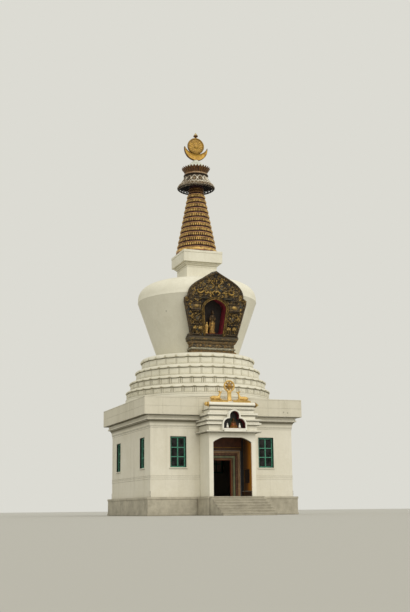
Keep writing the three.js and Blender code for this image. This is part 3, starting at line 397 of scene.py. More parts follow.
# Mesh building
class Body:
    """Vertices and faces gathered for one piece, each face with a material number."""

    def __init__(self):
        self.points = []
        self.faces = []
        self.marks = []

    def add(self, points, faces, mark=0):
        """Adds one shell, with its coincident points joined and its folded faces dropped."""
        points = np.asarray(points, float).reshape(-1, 3)
        kept, index = np.unique(np.round(points, 6) + 0.0, axis=0, return_inverse=True)
        index = index.reshape(-1) + len(self.points)
        marks = [mark] * len(faces) if np.isscalar(mark) else mark
        for face, face_mark in zip(faces, marks):
            ring = []
            for corner in face:
                if index[corner] not in ring:
                    ring.append(int(index[corner]))
            if len(ring) > 2:
                self.faces.append(ring)
                self.marks.append(face_mark)
        self.points.extend(map(tuple, kept))

    def sheet(self, rows, mark=0, along=True):
        """Skin through closed rings of points. along: the last ring joins the first."""
        grid = np.asarray(rows, float)
        self.add(grid, quads(*grid.shape[:2], True, along), mark)

    def capped(self, rows, mark=0):
        """Closed skin through rings of points, with a flat face at both ends."""
        grid = np.asarray(rows, float)
        count, sides = grid.shape[:2]
        ends = [tuple(range(sides)), tuple((count - 1) * sides + k for k in range(sides))]
        self.add(grid, quads(count, sides, True) + ends, mark)

    def join(self, other, turn):
        start = len(self.points)
        self.points.extend(tuple(turn @ Vector(p)) for p in other.points)
        self.faces.extend([start + i for i in face] for face in other.faces)
        self.marks.extend(other.marks)

    def lean(self):
        """Moves the body from the shrine's upright frame to its place against the dome."""
        self.points = [tuple(LEAN @ Vector(p)) for p in self.points]


def quads(rows, columns, around=False, along=False, start=0, flip=False):
    """Faces of a grid of points. around closes each row on itself, along joins the last row to the first."""
    faces = []
    for r in range(rows if along else rows - 1):
        for c in range(columns if around else columns - 1):
            below, above = r * columns, ((r + 1) % rows) * columns
            face = (below + c, below + (c + 1) % columns, above + (c + 1) % columns, above + c)
            faces.append(tuple(start + i for i in (face[::-1] if flip else face)))
    return faces


def closed_pair(outer, inner):
    """Points and faces of the closed shell between two sheets of the same size."""
    rows, columns = outer.shape[:2]
    count = rows * columns
    faces = quads(rows, columns) + quads(rows, columns, start=count, flip=True)
    border = [r * columns for r in range(rows)]
    border += [(rows - 1) * columns + c for c in range(1, columns)]
    border += [r * columns + columns - 1 for r in range(rows - 2, -1, -1)]
    border += list(range(columns - 2, 0, -1))
    for a, b in zip(border, border[1:] + border[:1]):
        faces.append((a, b, count + b, count + a))
    return np.concatenate([outer.reshape(-1, 3), inner.reshape(-1, 3)]), faces


def turned(body, profile, segments=96, mark=0, shape=None, ring=False):
    """Revolves (radius, height) points about Z. shape(angles, radius, height, row) may move them.
    A ring's profile is closed on itself. mark may be a list with one number for each band of faces."""
    angles = np.arange(segments) * TAU / segments
    rows = []
    for row, (radius, height) in enumerate(profile):
        r = np.full(segments, float(radius))
        z = np.full(segments, float(height))
        if shape is not None and radius > 1e-6:
            r, z = shape(angles, r, z, row)
        rows.append(np.stack([r * np.cos(angles), r * np.sin(angles), z], axis=-1))
    if not np.isscalar(mark):
        mark = [band for band in mark for _ in range(segments)]
    body.sheet(rows, mark, ring)


def scalloped(depth, count):
    """Shape for turned that swells the radius in a number of lobes, two for each count."""
    return lambda angles, radius, height, row: (
        radius * (1 + depth * np.abs(np.cos(count * angles))), height)


def octagon(half_x, half_y, cut, z, centre=(0, 0)):
    """Rectangle with cut corners, as a ring of points."""
    ring = []
    for sx, sy in ((1, -1), (1, 1), (-1, 1), (-1, -1)):
        near, far = (sx * half_x, sy * (half_y - cut)), (sx * (half_x - cut), sy * half_y)
        ring += [far, near] if sx * sy < 0 else [near, far]
    return [(centre[0] + x, centre[1] + y, z) for x, y in ring]


def block(body, low, high, bevel=0.006, mark=0):
    """Box with chamfered edges."""
    low, high = np.array(low, float), np.array(high, float)
    middle, half = (low + high) / 2, (high - low) / 2
    cut = min(bevel, *(half * 0.9))
    rows = []
    for inset, rise in ((cut, -half[2]), (0, cut - half[2]), (0, half[2] - cut), (cut, half[2])):
        rows.append(octagon(half[0] - inset, half[1] - inset, cut - inset, middle[2] + rise, middle))
    body.capped(rows, mark)


def squared(body, levels, chamfer=0.012):
    """Closed body with a square plan through (half width, height) levels."""
    body.capped([octagon(half, half, min(chamfer, half * 0.5), z) for half, z in levels])


def pillow(body, place, across, up, depth, bevel):
    """Raised block on a surface. place(u, v, h) gives a point. across and up are (start, end),
    depth is (back, front)."""
    def marks(start, end):
        return np.array([start, start, start + bevel, end - bevel, end, end])

    back, front = depth
    heights = np.array([back, front - bevel, front, front, front - bevel, back])
    us, vs = marks(*across), marks(*up)
    size = len(heights)
    points = [place(us[i], vs[j], min(heights[i], heights[j])) for j in range(size) for i in range(size)]
    points += [place(u, v, back) for v in vs for u in us]
    body.add(points, quads(size, size) + quads(size, size, start=size * size, flip=True))


def on_wall(front):
    """Surface of a flat wall whose face is at y = front and looks to -Y."""
    return lambda u, v, h: (u, front - h, v)


def on_round(radius, centre):
    """Surface of a round wall. u is the arc length from the direction centre, against the clock."""
    def place(u, v, h):
        angle = centre + u / radius
        return ((radius + h) * math.cos(angle), (radius + h) * math.sin(angle), v)
    return place


def slanted(place, start, end):
    """The same surface seen along a slanted line: u goes across it and v along it, from 0 to 1."""
    return lambda u, v, h: place(start[0] + (end[0] - start[0]) * v + u,
                                 start[1] + (end[1] - start[1]) * v, h)


def moulding(body, path, profile, closed=False, mark=0):
    """Runs a (distance out, height) profile along a flat path with mitred corners. Out is to the right."""
    path = [np.array(p, float) for p in path]
    count = len(path)
    rows = []
    for i, corner in enumerate(path):
        ways = []
        if closed or i:
            ways.append(corner - path[i - 1])
        if closed or i < count - 1:
            ways.append(path[(i + 1) % count] - corner)
        outs = [np.array((way[1], -way[0])) / np.linalg.norm(way) for way in ways]
        out = sum(outs)
        out = out / np.dot(out, outs[0])
        rows.append([(*(corner + out * distance), height) for distance, height in profile])
    if closed:
        body.sheet(rows, mark)
    else:
        body.capped(rows, mark)


def tube(body, points, radii, sides=8, closed=False, mark=0, squeeze=1.0, face=None):
    """Round bar along points, with a radius at each. squeeze flattens it along the direction face."""
    points = [Vector(p) for p in points]
    count = len(points)
    radii = [radii] * count if np.isscalar(radii) else radii
    rings = []
    side = None
    for i, point in enumerate(points):
        ahead = points[(i + 1) % count] if (closed or i < count - 1) else point
        behind = points[i - 1] if (closed or i) else point
        way = (ahead - behind).normalized()
        if face is not None:
            side = Vector(face)
        elif side is None:
            side = way.orthogonal()
        side = (side - way * side.dot(way)).normalized()
        other = way.cross(side)
        ring = []
        for k in range(sides):
            angle = TAU * k / sides
            ring.append(point + radii[i] * (math.cos(angle) * squeeze * side + math.sin(angle) * other))
        rings.append([tuple(p) for p in ring])
    if closed:
        body.sheet(rings, mark)
    else:
        body.capped(rings, mark)


def ball(body, centre, half, rings=8, segments=12, mark=0, turn=None):
    """Ellipsoid with half sizes along x, y and z, which turn may rotate."""
    grid = []
    for j in range(rings + 1):
        polar = math.pi * j / rings
        row = []
        for i in range(segments):
            angle = TAU * i / segments
            p = Vector((half[0] * math.sin(polar) * math.cos(angle),
                        half[1] * math.sin(polar) * math.sin(angle), half[2] * math.cos(polar)))
            row.append(tuple((turn @ p if turn else p) + Vector(centre)))
        grid.append(row)
    body.sheet(grid, mark, False)


def ball_row(body, y, z, half, step, size, mark=0, detail=(6, 10)):
    """Balls in a row along x, one of them in the middle."""
    count = int(half / step)
    for k in range(-count, count + 1):
        ball(body, (k * step, y, z), size, *detail, mark)


def arc(x, z, radius, start, end, steps):
    return [(x + radius * math.cos(a), z + radius * math.sin(a)) for a in np.linspace(start, end, steps)]


def drawn_in(outline, rings, share=1.0):
    """Rings through (inset, y) copies of an (x, z) outline. share scales the inset at each point."""
    outline = np.array(outline, float)
    return [[(x, y, z) for x, z in shrink(outline, inset, share)] for inset, y in rings]


def prism(body, outline, rings, share=1.0, mark=0):
    """Closed body through (inset, y) copies of an (x, z) outline."""
    body.capped(drawn_in(outline, rings, share), mark)


def extruded(body, outline, front, back, bevel, mark=0):
    """Prism of an (x, z) outline between y = front and y = back, with its front edge chamfered."""
    prism(body, outline, [(0.0, back), (0.0, front + bevel), (bevel, front)], mark=mark)


def shrink(outline, inset, share=1.0):
    """Moves each point of a closed outline inwards, along the middle of its two sides."""
    if not inset:
        return outline
    before, after = np.roll(outline, 1, axis=0), np.roll(outline, -1, axis=0)
    area = np.sum(outline[:, 0] * after[:, 1] - after[:, 0] * outline[:, 1])
    normals = []
    for way in (outline - before, after - outline):
        way = way / np.maximum(np.linalg.norm(way, axis=1), 1e-9)[:, None]
        normals.append(np.stack([-way[:, 1], way[:, 0]], axis=1) * np.sign(area))
    middle = normals[0] + normals[1]
    scale = np.maximum(np.sum(middle * normals[0], axis=1), 0.35)
    return outline + middle / scale[:, None] * (inset * np.ones(len(outline)) * share)[:, None]


def face_outwards(mesh):
    work = bmesh.new()
    work.from_mesh(mesh)
    bmesh.ops.recalc_face_normals(work, faces=work.faces)
    work.to_mesh(mesh)
    work.free()


def mesh_of(body):
    mesh = bpy.data.meshes.new("work")
    mesh.from_pydata(body.points, [], body.faces)
    mesh.polygons.foreach_set("material_index", body.marks)
    face_outwards(mesh)
    return mesh


def piece(name, shape, looks, stands_for=(), sharp=35):
    """Makes the object of a body or a mesh, gives it its materials and ties it to the frame."""
    mesh = mesh_of(shape) if isinstance(shape, Body) else shape
    mesh.name = name
    for look in looks:
        mesh.materials.append(LOOKS[look])
    face_outwards(mesh)
    mesh.polygons.foreach_set("use_smooth", [True] * len(mesh.polygons))
    mesh.set_sharp_from_angle(angle=math.radians(sharp))
    made = bpy.data.objects.new(name, mesh)
    bpy.context.scene.collection.objects.link(made)
    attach(made, "root")
    if stands_for:
        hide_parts(*stands_for)
    return made


def give_values(made, **values):
    """Stores a number at each point of a piece, for its material."""
    for name, numbers in values.items():
        layer = made.data.attributes.new(name, "FLOAT", "POINT")
        layer.data.foreach_set("value", np.asarray(numbers, np.float32))


def after_modifier(mesh, kind, **settings):
    """Mesh with one modifier applied."""
    carrier = bpy.data.objects.new("carrier", mesh)
    bpy.context.scene.collection.objects.link(carrier)
    modifier = carrier.modifiers.new(kind.lower(), kind)
    for key, value in settings.items():
        setattr(modifier, key, value)
    bpy.context.view_layer.update()
    result = bpy.data.meshes.new_from_object(carrier.evaluated_get(bpy.context.evaluated_depsgraph_get()))
    bpy.data.objects.remove(carrier)
    return result


def carved(body, cutter, own=False):
    """Mesh of a body with the cutter's space taken out of it. own: its own shells may overlap."""
    tool = bpy.data.objects.new("tool", mesh_of(cutter))
    bpy.context.scene.collection.objects.link(tool)
    settings = {"object": tool, "operation": "DIFFERENCE", "solver": "EXACT", "use_self": own}
    result = after_modifier(mesh_of(body), "BOOLEAN", **settings)
    bpy.data.objects.remove(tool)
    return result


def sculpted(body, voxel, smooth, relief=None):
    """Closed shells of a body run together into one skin, smoothed, then pushed out by relief(points)."""
    mesh = after_modifier(mesh_of(body), "REMESH", mode="VOXEL", voxel_size=voxel)
    mesh = after_modifier(mesh, "SMOOTH", factor=0.5, iterations=smooth)
    if relief is not None:
        points, normals = np.zeros((2, len(mesh.vertices) * 3))
        mesh.vertices.foreach_get("co", points)
        mesh.vertices.foreach_get("normal", normals)
        push = np.repeat(relief(points.reshape(-1, 3)), 3)
        mesh.vertices.foreach_set("co", points + normals * push)
    return mesh


# Finial: jewel, sun, crescent and their cone
SUN_Z = 24.2823
SUN_R = 0.572
JEWEL_FOOT = SUN_Z + SUN_R


def build_jewel():
    body = Body()
    foot = JEWEL_FOOT
    cup = [(0, 0), (0.075, 0), (0.07, 0.03), (0.052, 0.045), (0.05, 0.07), (0.085, 0.1), (0.1, 0.125),
           (0, 0.125)]
    turned(body, [(r, foot + z) for r, z in cup], 32, 0)
    onion = [(0, 0.08), (0.095, 0.085), (0.14, 0.105), (0.16, 0.14), (0.156, 0.172), (0.136, 0.192),
             (0.128, 0.205), (0.118, 0.235), (0.088, 0.275), (0.055, 0.315), (0.03, 0.35), (0.016, 0.38),
             (0, 0.4)]
    turned(body, [(r / 1.05, foot + z) for r, z in onion], 64, [0] * 6 + [1] * 6, scalloped(0.05, 4))
    piece("finial_jewel", body, ["brown_bronze", "finial_pale"], ["jewel"])


def build_sun():
    body, disc = Body(), Body()

    def rays(angles, radius, height, row):
        ridge = np.clip(np.cos(16 * angles) * 1.5, -1, 1) * float(0.2 < radius[0] < 0.44)
        return radius, height + 0.006 * ridge * np.sign(height)

    front = [(0, 0.098), (0.1, 0.098), (0.145, 0.088), (0.17, 0.07), (0.19, 0.066)]
    front += [(0.19 + 0.046 * k, 0.066) for k in range(1, 6)]
    front += [(0.46, 0.063), (0.475, 0.06), (0.485, 0.088), (0.51, 0.105), (0.545, 0.1), (0.568, 0.075)]
    back = [(r, -z) for r, z in reversed(front)]
    edge = len(front) - 1
    marks = [1 if edge <= band <= edge + 1 else 0 for band in range(len(front) + len(back))]
    turned(disc, front + [(SUN_R, 0.0)] + back, 128, marks, rays)
    body.join(disc, Matrix.Translation((0, 0, SUN_Z)) @ TO_FRONT)
    piece("finial_sun", body, ["finial_gilding", "brown_bronze"], ["sun_disc"], 40)


def crescent_outline(steps):
    """Points round the crescent from its left horn, and how far each may be drawn in."""
    outer_r, inner_r = 0.81, 0.9
    centre, inner_centre = 24.08, 24.61
    rise = inner_centre - centre
    tip_z = (outer_r ** 2 - inner_r ** 2 + rise ** 2) / (2 * rise)
    tip_x = math.sqrt(outer_r ** 2 - tip_z ** 2)
    outer = math.atan2(tip_z, tip_x)
    inner = math.atan2(tip_z - rise, tip_x)
    points = arc(0, centre, outer_r, math.pi - outer, TAU + outer, steps)
    points += arc(0, inner_centre, inner_r, inner, -math.pi - inner, steps)[1:-1]
    share = [min(1.0, 1.8 * math.sin(math.pi * i / (steps - 1))) for i in range(steps)]
    return np.array(points), np.array(share + share[1:-1])


def build_moon():
    body = Body()
    outline, share = crescent_outline(72)
    rings = [(0.026, 0.1), (0.0, 0.08), (0.0, -0.08), (0.026, -0.1), (0.05, -0.096), (0.062, -0.07),
             (0.075, -0.066)]
    back = [(inset, -y) for inset, y in reversed(rings[4:])]
    prism(body, outline, back + rings, share)
    columns = len(outline)
    middle = (len(back) + 1) * columns
    body.marks[middle - columns:middle + 2 * columns] = [1] * (3 * columns)
    piece("finial_crescent", body, ["crescent_gilding", "brown_bronze"], ["moon_crescent"], 40)


def build_cone():
    body = Body()
    profile = [(0, 22.64), (0.74, 22.64), (0.738, 22.69), (0.715, 22.745), (0.66, 22.8), (0.58, 22.87),
               (0.5, 22.94), (0.43, 23.01), (0.36, 23.08), (0.29, 23.14), (0.225, 23.195), (0.222, 23.212),
               (0.185, 23.222), (0.17, 23.27), (0, 23.27)]
    turned(body, profile, 72)
    piece("finial_base_cone", body, ["cone_white"], ["finial_cone"])


CROWN_FLUTES = 28


def build_crown():
    body = Body()
    ring = [(0, 22.1), (0.77, 22.1), (0.8, 22.108), (0.82, 22.13), (0.829, 22.165), (0.826, 22.185),
            (0.818, 22.21), (0.8, 22.232), (0.776, 22.244), (0, 22.244)]
    # Lower half of the ring dark, upper half and the fillet light: painted shade below, painted highlight
    # above
    turned(body, ring, 96, [1, 1, 1, 1, 1, 2, 2, 2, 2])
    fillet = [(0, 22.24), (0.765, 22.24), (0.776, 22.25), (0.776, 22.272), (0.75, 22.285), (0, 22.285)]
    turned(body, fillet, 96, 2)

    def flutes(angles, radius, height, row):
        wave = np.abs(np.cos(CROWN_FLUTES / 2 * angles))
        up = np.clip((height - 22.29) / 0.42, 0, 1)
        radius = radius - (0.02 + 0.05 * up) * (1 - wave ** 0.8)
        height = height - np.clip((height - 22.5) / 0.2, 0, 1) * 0.11 * (1 - wave ** 1.2)
        return radius, height

    bowl = [(0.7, 22.282), (0.735, 22.285), (0.745, 22.33), (0.765, 22.39), (0.8, 22.45), (0.842, 22.51),
            (0.885, 22.575), (0.925, 22.635), (0.95, 22.685), (0.957, 22.708), (0.947, 22.71),
            (0.925, 22.69), (0.895, 22.65), (0.865, 22.6), (0.835, 22.56), (0.7, 22.54)]
    start = len(body.faces)
    turned(body, bowl, CROWN_FLUTES * 10, 0, flutes, ring=True)
    # Faces in the flute valleys take the dark paint: painted shade
    for k in range(start, len(body.faces)):
        if (k - start) % 10 in (4, 5):
            body.marks[k] = 1
    piece("fluted_crown", body, ["brown_bronze", "dark_bronze_and_shade", "crown_ring_highlit_metal"],
          ["canopy_crown"])


# Canopy: embossed skirt with a pierced rim
SKIRT_REPEATS = 14
BOSS_Z = 21.77
SKIRT_OUTLINE = [(1.172, 21.448), (1.158, 21.475), (1.118, 21.53), (1.062, 21.605), (1.01, 21.675),
                 (0.958, 21.75), (0.908, 21.825), (0.86, 21.9), (0.83, 21.965), (0.808, 22.03),
                 (0.795, 22.085), (0.79, 22.125)]


def skirt_boss(local, height):
    """Over 0 on the large upright bosses, of which there is one in each repeat."""
    return 1 - (local / 0.27) ** 2 - ((height - BOSS_Z) / 0.175) ** 2


def skirt_relief(angles, height):
    """Height of the embossed pattern: hanging swags, oval bosses and a band of upright petals."""
    along = angles * SKIRT_REPEATS / TAU
    local = (along % 1.0) - 0.5
    other = ((along + 0.5) % 1.0) - 0.5
    lift = 0.028 * np.sqrt(np.clip(skirt_boss(local, height), 0, None))
    edge = np.abs(np.sqrt((local / 0.4) ** 2 + ((height - BOSS_Z) / 0.235) ** 2) - 1)
    lift += 0.026 * np.clip(1 - edge / 0.17, 0, None) ** 0.5
    leaf = 1 - (other / 0.09) ** 2 - ((height - 21.84) / 0.13) ** 2
    lift += 0.024 * np.sqrt(np.clip(leaf, 0, None))
    sag = 21.535 + 0.34 * other ** 2
    lift += 0.024 * np.clip(1 - np.abs(height - sag) / 0.03, 0, None) ** 0.5
    drop = 1 - (other / 0.13) ** 2 - ((height - 21.49) / 0.045) ** 2
    lift += 0.024 * np.sqrt(np.clip(drop, 0, None))
    petals = np.abs(np.cos(math.pi * along * 2)) ** 0.6
    lift += 0.014 * petals * np.clip(1 - np.abs(height - 22.03) / 0.055, 0, None) ** 0.5
    return np.clip(lift, 0, 0.03)


def build_canopy():
    body = Body()
    fine = []
    for (r0, z0), (r1, z1) in zip(SKIRT_OUTLINE, SKIRT_OUTLINE[1:]):
        steps = max(2, round((z1 - z0) / 0.011))
        fine += [(r0 + (r1 - r0) * k / steps, z0 + (z1 - z0) * k / steps) for k in range(steps)]
    fine.append(SKIRT_OUTLINE[-1])
    inner = [(0, 21.998), (0.66, 21.998), (0.76, 21.95), (0.87, 21.8), (0.99, 21.62), (1.1, 21.462),
             (1.11, 21.448)]

    def emboss(angles, radius, height, row):
        if not len(inner) < row < len(inner) + len(fine) - 1:
            return radius, height
        return radius - 0.04 + skirt_relief(angles, float(height[0])) * 1.5, height

    # The inner face of the skirt takes the black paint: painted shade under the canopy
    marks = [1] * len(inner) + [0] * (len(fine) + 1)
    turned(body, inner + fine + [(0, 22.13)], SKIRT_REPEATS * 16, marks, emboss)
    made = piece("canopy_skirt_sheet", body, ["skirt_metal", "canopy_inside_shade"],
                 ["canopy_skirt"])
    x, y, z = np.array(body.points).T
    turn = np.arctan2(y, x)
    raised = skirt_relief(turn, z)
    # Less gilt on one side of the skirt as painted shade, and less at its top and on the large bosses
    dimmed = 0.2 * np.cos(turn + 2.95) + 0.08 * np.sin(turn * 7) + 0.45 * np.clip((z - 21.98) / 0.05, 0, 1)
    dimmed += 0.42 * (skirt_boss((turn * SKIRT_REPEATS / TAU) % 1.0 - 0.5, z) > 0)
    give_values(made, gilt=0.32 - dimmed + 0.66 * np.clip(raised / 0.026, 0, 1), tint=0.6 * (raised < 0.004))


RIM_REPEATS = 30


def rim_point(angle, along, out=0.0):
    """Point on the pierced rim: along runs from 0 at its lower edge to 1 where the sheet starts."""
    stops = [0.0, 0.25, 0.5, 1.0]
    radius = np.interp(along, stops, [1.125, 1.215, 1.236, 1.166]) + out
    height = np.interp(along, stops, [21.222, 21.262, 21.33, 21.458])
    return (radius * math.cos(angle), radius * math.sin(angle), height)


def build_rim():
    """Open work at the lower edge of the canopy: rings and small leaves between two rails."""
    body = Body()
    for along, radius in ((0.0, 0.026), (0.3, 0.024), (1.0, 0.024)):
        path = [rim_point(TAU * k / 120, along) for k in range(120)]
        tube(body, path, radius, 6, closed=True)
    for k in range(RIM_REPEATS):
        step = TAU / RIM_REPEATS
        angle = step * k
        loop = []
        for n in range(16):
            turn = TAU * n / 16
            loop.append(rim_point(angle + 0.36 * step * math.cos(turn), 0.66 + 0.24 * math.sin(turn)))
        tube(body, loop, 0.024, 6, closed=True)
        petal = [rim_point(angle, 0.4), rim_point(angle, 0.62, 0.012), rim_point(angle, 0.84)]
        tube(body, petal, [0.01, 0.014, 0.01], 6)
        between = [rim_point(angle + 0.5 * step, 0.32), rim_point(angle + 0.5 * step, 0.64, 0.008),
                   rim_point(angle + 0.5 * step, 0.98)]
        tube(body, between, [0.024, 0.016, 0.024], 5)
        scallop = [rim_point(angle + step * (n / 8 - 0.5), 0.02, 0.004) for n in range(9)]
        scallop = [(px, py, pz - 0.022 * math.sin(math.pi * n / 8))
                   for n, (px, py, pz) in enumerate(scallop)]
        tube(body, scallop, 0.016, 5)
        ball(body, rim_point(angle, 0.15, 0.004), (0.028, 0.028, 0.028), 6, 8)
    # Bright outside; faces that look inwards or down are black: painted shade
    made = piece("canopy_pierced_rim", body, ["skirt_metal", "canopy_inside_shade"])
    inward = np.array([p.normal.x * p.center.x + p.normal.y * p.center.y for p in made.data.polygons])
    below = np.array([p.normal.z for p in made.data.polygons])
    black = (inward < 0.45) | (below < -0.45)
    made.data.polygons.foreach_set("material_index", black.astype(int))
    count = len(made.data.vertices)
    give_values(made, gilt=np.full(count, 0.55), tint=np.zeros(count))


# Spire of ribbed rings


def build_spire():
    body = Body()
    for i in range(RING_COUNT):
        z0 = FIRST_LINE + (i - 1) * RING_PITCH if i else SPIRE_BOTTOM
        z1 = FIRST_LINE + i * RING_PITCH - 0.078
        r0 = RING_FOOT_R - RING_TAPER * (z0 - SPIRE_BOTTOM)
        r1 = RING_FOOT_R - RING_TAPER * (z1 - SPIRE_BOTTOM)
        ribs = round(56 - 18 * i / (RING_COUNT - 1))
        core = r1 - 0.11
        profile = [(core, z0 - 0.002), (r0 - 0.06, z0), (r0 - 0.036, z0 + 0.01), (r0 - 0.012, z0 + 0.028),
                   (r0 - 0.002, z0 + 0.075), (r0 - 0.002, z0 + 0.135), (r1 - 0.006, z1 - 0.092),
                   (r1 - 0.026, z1 - 0.074), (r1 - 0.016, z1 - 0.064), (r1 - 0.004, z1 - 0.052),
                   (r1 - 0.003, z1 - 0.024), (r1 - 0.016, z1 - 0.01), (r1 - 0.04, z1), (core, z1 + 0.002)]
        if i == 0:
            profile[3:8] = [(r0 - 0.012, z0 + 0.02), (r0 - 0.004, z0 + 0.05), (r0 - 0.006, z0 + 0.12),
                            (r0 - 0.012, z0 + 0.2), (r1 - 0.02, z1 - 0.074)]

        def bulge(angles, radius, height, row, count=ribs, plain=i == 0):
            if plain or not 2 <= row <= 6:
                return radius, height
            wave = np.abs(np.cos(count / 2 * angles))
            return radius - 0.055 * (1 - wave ** 0.7), height

        start = len(body.faces)
        turned(body, profile, ribs * 6, 0, bulge, ring=True)
        # Faces in the rib valleys take the darker paint: painted shade
        if i:
            for k in range(start, len(body.faces)):
                row, column = divmod(k - start, ribs * 6)
                if 2 <= row <= 5 and column % 6 in (2, 3):
                    body.marks[k] = 3
    top = FIRST_LINE + (RING_COUNT - 1) * RING_PITCH
    wide = RING_FOOT_R - 0.09
    mast = [(0, SPIRE_BOTTOM - 0.02), (wide, SPIRE_BOTTOM - 0.02), (wide, SPIRE_BOTTOM + 0.2)]
    mast += [(RING_FOOT_R - 0.078 - RING_TAPER * (z - SPIRE_BOTTOM), z)
             for z in (SPIRE_BOTTOM + 0.3, top - 0.05)]
    mast += [(0.47, top), (0.44, top + 0.02), (0.44, 21.3), (0.48, 21.33), (0.48, 21.38), (0.44, 21.41),
             (0.44, 21.995), (0, 21.995)]
    turned(body, mast, 96, 1)
    # Narrow ring under the canopy
    low, high = top + 0.005, 21.255
    narrow = [(0.44, low), (0.495, low + 0.012), (0.515, low + 0.05), (0.515, low + 0.12),
              (0.5, low + 0.17), (0.48, low + 0.2), (0.505, low + 0.225), (0.505, high - 0.02),
              (0.485, high), (0.44, high)]

    def small_ribs(angles, radius, height, row):
        if not 1 <= row <= 5:
            return radius, height
        return radius - 0.03 * (1 - np.abs(np.cos(14 * angles)) ** 0.7), height

    turned(body, narrow, 28 * 6, 2, small_ribs, ring=True)
    piece("ringed_spire", body, ["spire_gilding", "maroon_groove", "brown_bronze", "rib_valley_shade"],
          ["spire_rings"])


# Harmika: square neck, stepped moulding and slab
def build_harmika():
    neck = Body()
    squared(neck, [(0.99, 14.3), (1.02, 14.32), (1.02, 15.66), (1.035, 15.672), (1.035, 15.7),
                   (1.02, 15.712), (1.02, 15.792), (1.085, 15.798), (1.095, 15.812), (1.095, 15.85),
                   (1.13, 15.86), (1.185, 15.905), (1.19, 15.915), (1.19, 15.955), (1.18, 15.965),
                   (1.06, 15.966)])
    piece("harmika_neck_plaster", neck, ["limewash"], ["harmika_neck"])
    slab = Body()
    squared(slab, [(1.27, 15.966), (1.295, 15.966), (1.315, 15.985), (1.315, 16.56), (1.308, 16.566),
                   (1.308, 16.584), (1.33, 16.592), (1.33, 16.715), (1.31, 16.742), (1.2, 16.742)], 0.02)
    piece("harmika_slab_plaster", slab, ["limewash"], ["harmika_slab"])


# Shrine on the front of the dome, in its own upright frame: x across, y into the dome, z above its foot
LEAN = Matrix.Translation((0, -3.15, 10.82)) @ Matrix.Rotation(math.radians(9), 4, "X")
SHRINE_TIP = 4.03
ARCH_FOOT, ARCH_TIP = 0.13, 2.27
ARCH_HALF = 0.56
SHRINE_BACK = 0.9
RECESS_BACK = 0.76


def mirrored(line):
    """Closed outline of a line from the right foot to a tip on the axis."""
    return np.concatenate([line, (line * (-1, 1))[-2::-1]])


def bezier(start, first, second, end, count):
    t = np.linspace(0, 1, count)[:, None]
    a, b, c, d = (np.array(p, float) for p in (start, first, second, end))
    return (1 - t) ** 3 * a + 3 * t * (1 - t) ** 2 * b + 3 * t ** 2 * (1 - t) * c + t ** 3 * d


SIDE_LINE = np.concatenate([[(1.55, 0.0), (2.06, 2.02), (2.06, 2.28), (1.85, 2.42)],
                            bezier((1.85, 2.42), (1.85, 3.27), (0.8, 3.53), (0.0, SHRINE_TIP), 40)[1:]])
ARCH_LINE = np.concatenate([[(ARCH_HALF, ARCH_FOOT), (0.725, 1.7)],
                            bezier((0.725, 1.7), (0.685, 1.973), (0.443, 2.163), (0.0, ARCH_TIP), 24)[1:]])


# Dome, and the number of sides of the largest round parts
ROUND = 216
DOME_FOOT_R, DOME_FOOT_Z = 2.547, 9.75
CREASE_R, CREASE_Z = 3.853, 13.459
SHOULDER_TOP_R, SHOULDER_TOP_Z = 1.0, 14.792


def build_dome():
    body = Body()
    profile = [(0, DOME_FOOT_Z), (DOME_FOOT_R, DOME_FOOT_Z)]
    for k in range(1, 30):
        t = k / 30
        profile.append((DOME_FOOT_R + (CREASE_R - DOME_FOOT_R) * t,
                        DOME_FOOT_Z + (CREASE_Z - DOME_FOOT_Z) * t))
    profile += [(CREASE_R - 0.012, CREASE_Z - 0.035), (CREASE_R, CREASE_Z - 0.005),
                (CREASE_R - 0.01, CREASE_Z + 0.025)]
    for k in range(2, 29):
        turn = k / 28 * math.pi / 2
        share = max(math.cos(turn), 0.0)
        profile.append((SHOULDER_TOP_R + (CREASE_R - SHOULDER_TOP_R) * share ** 0.634,
                        CREASE_Z + (SHOULDER_TOP_Z - CREASE_Z) * math.sin(turn) ** 0.753))
    profile.append((0, SHOULDER_TOP_Z))

    def hand_laid(angles, radius, height, row):
        if row in (1, len(profile) - 2):
            return radius, height
        wave = np.sin(5 * angles + 1.3 * height) + 0.7 * np.sin(11 * angles - 2.1 * height + 1)
        wave += 0.5 * np.sin(23 * angles + 3.7 * height + 2)
        return radius - 0.006 + 0.0025 * wave, height

    turned(body, profile, ROUND, 0, hand_laid)
    # Room for the shrine that leans against the front
    outline = shrink(mirrored(SIDE_LINE), 0.03)
    room = Body()
    room.capped([[(x * narrow, y, z) for x, z in outline]
                 for narrow, y in ((1.0, -1.2), (1.0, 0.0), (0.85, 0.86))])
    room.lean()
    piece("dome_plaster", carved(body, room), ["dome_limewash"], ["dome"], 20)
    foot = Body()
    roll = [(2.45, 9.748), (2.61, 9.748), (2.64, 9.762), (2.645, 9.8), (2.63, 9.825), (2.58, 9.84),
            (2.45, 9.845)]
    turned(foot, roll, ROUND, ring=True)
    piece("dome_foot_roll", foot, ["limewash"])


# Lotus tiers: foot, top, panel radius, lip radius, lip height, petals, first petal's angle in degrees
TIERS = [(7.145, 7.722, 4.52, 4.6, 7.528, 41, -1.61), (7.722, 8.306, 4.29, 4.37, 8.12, 39, 1.74),
         (8.306, 9.015, 3.93, 4.01, 8.8, 36, -0.47), (9.015, 9.75, 3.58, 3.67, 9.485, 30, -4.12)]


# Petals, and the sloping back of each lip: distance in from the lip, distance below the top of the tier
PETAL_THICKNESS = 0.06
LIP_SLOPE = [(0.035, 0.11), (0.105, 0.045), (0.23, 0.0)]


def lip_line(lip, lip_z, top):
    """Heights of a lip and its radius at each of them, for interpolation."""
    heights = [lip_z, lip_z + 0.055] + [top - down for _, down in LIP_SLOPE]
    return heights, [lip, lip - 0.002] + [lip - back for back, _ in LIP_SLOPE]


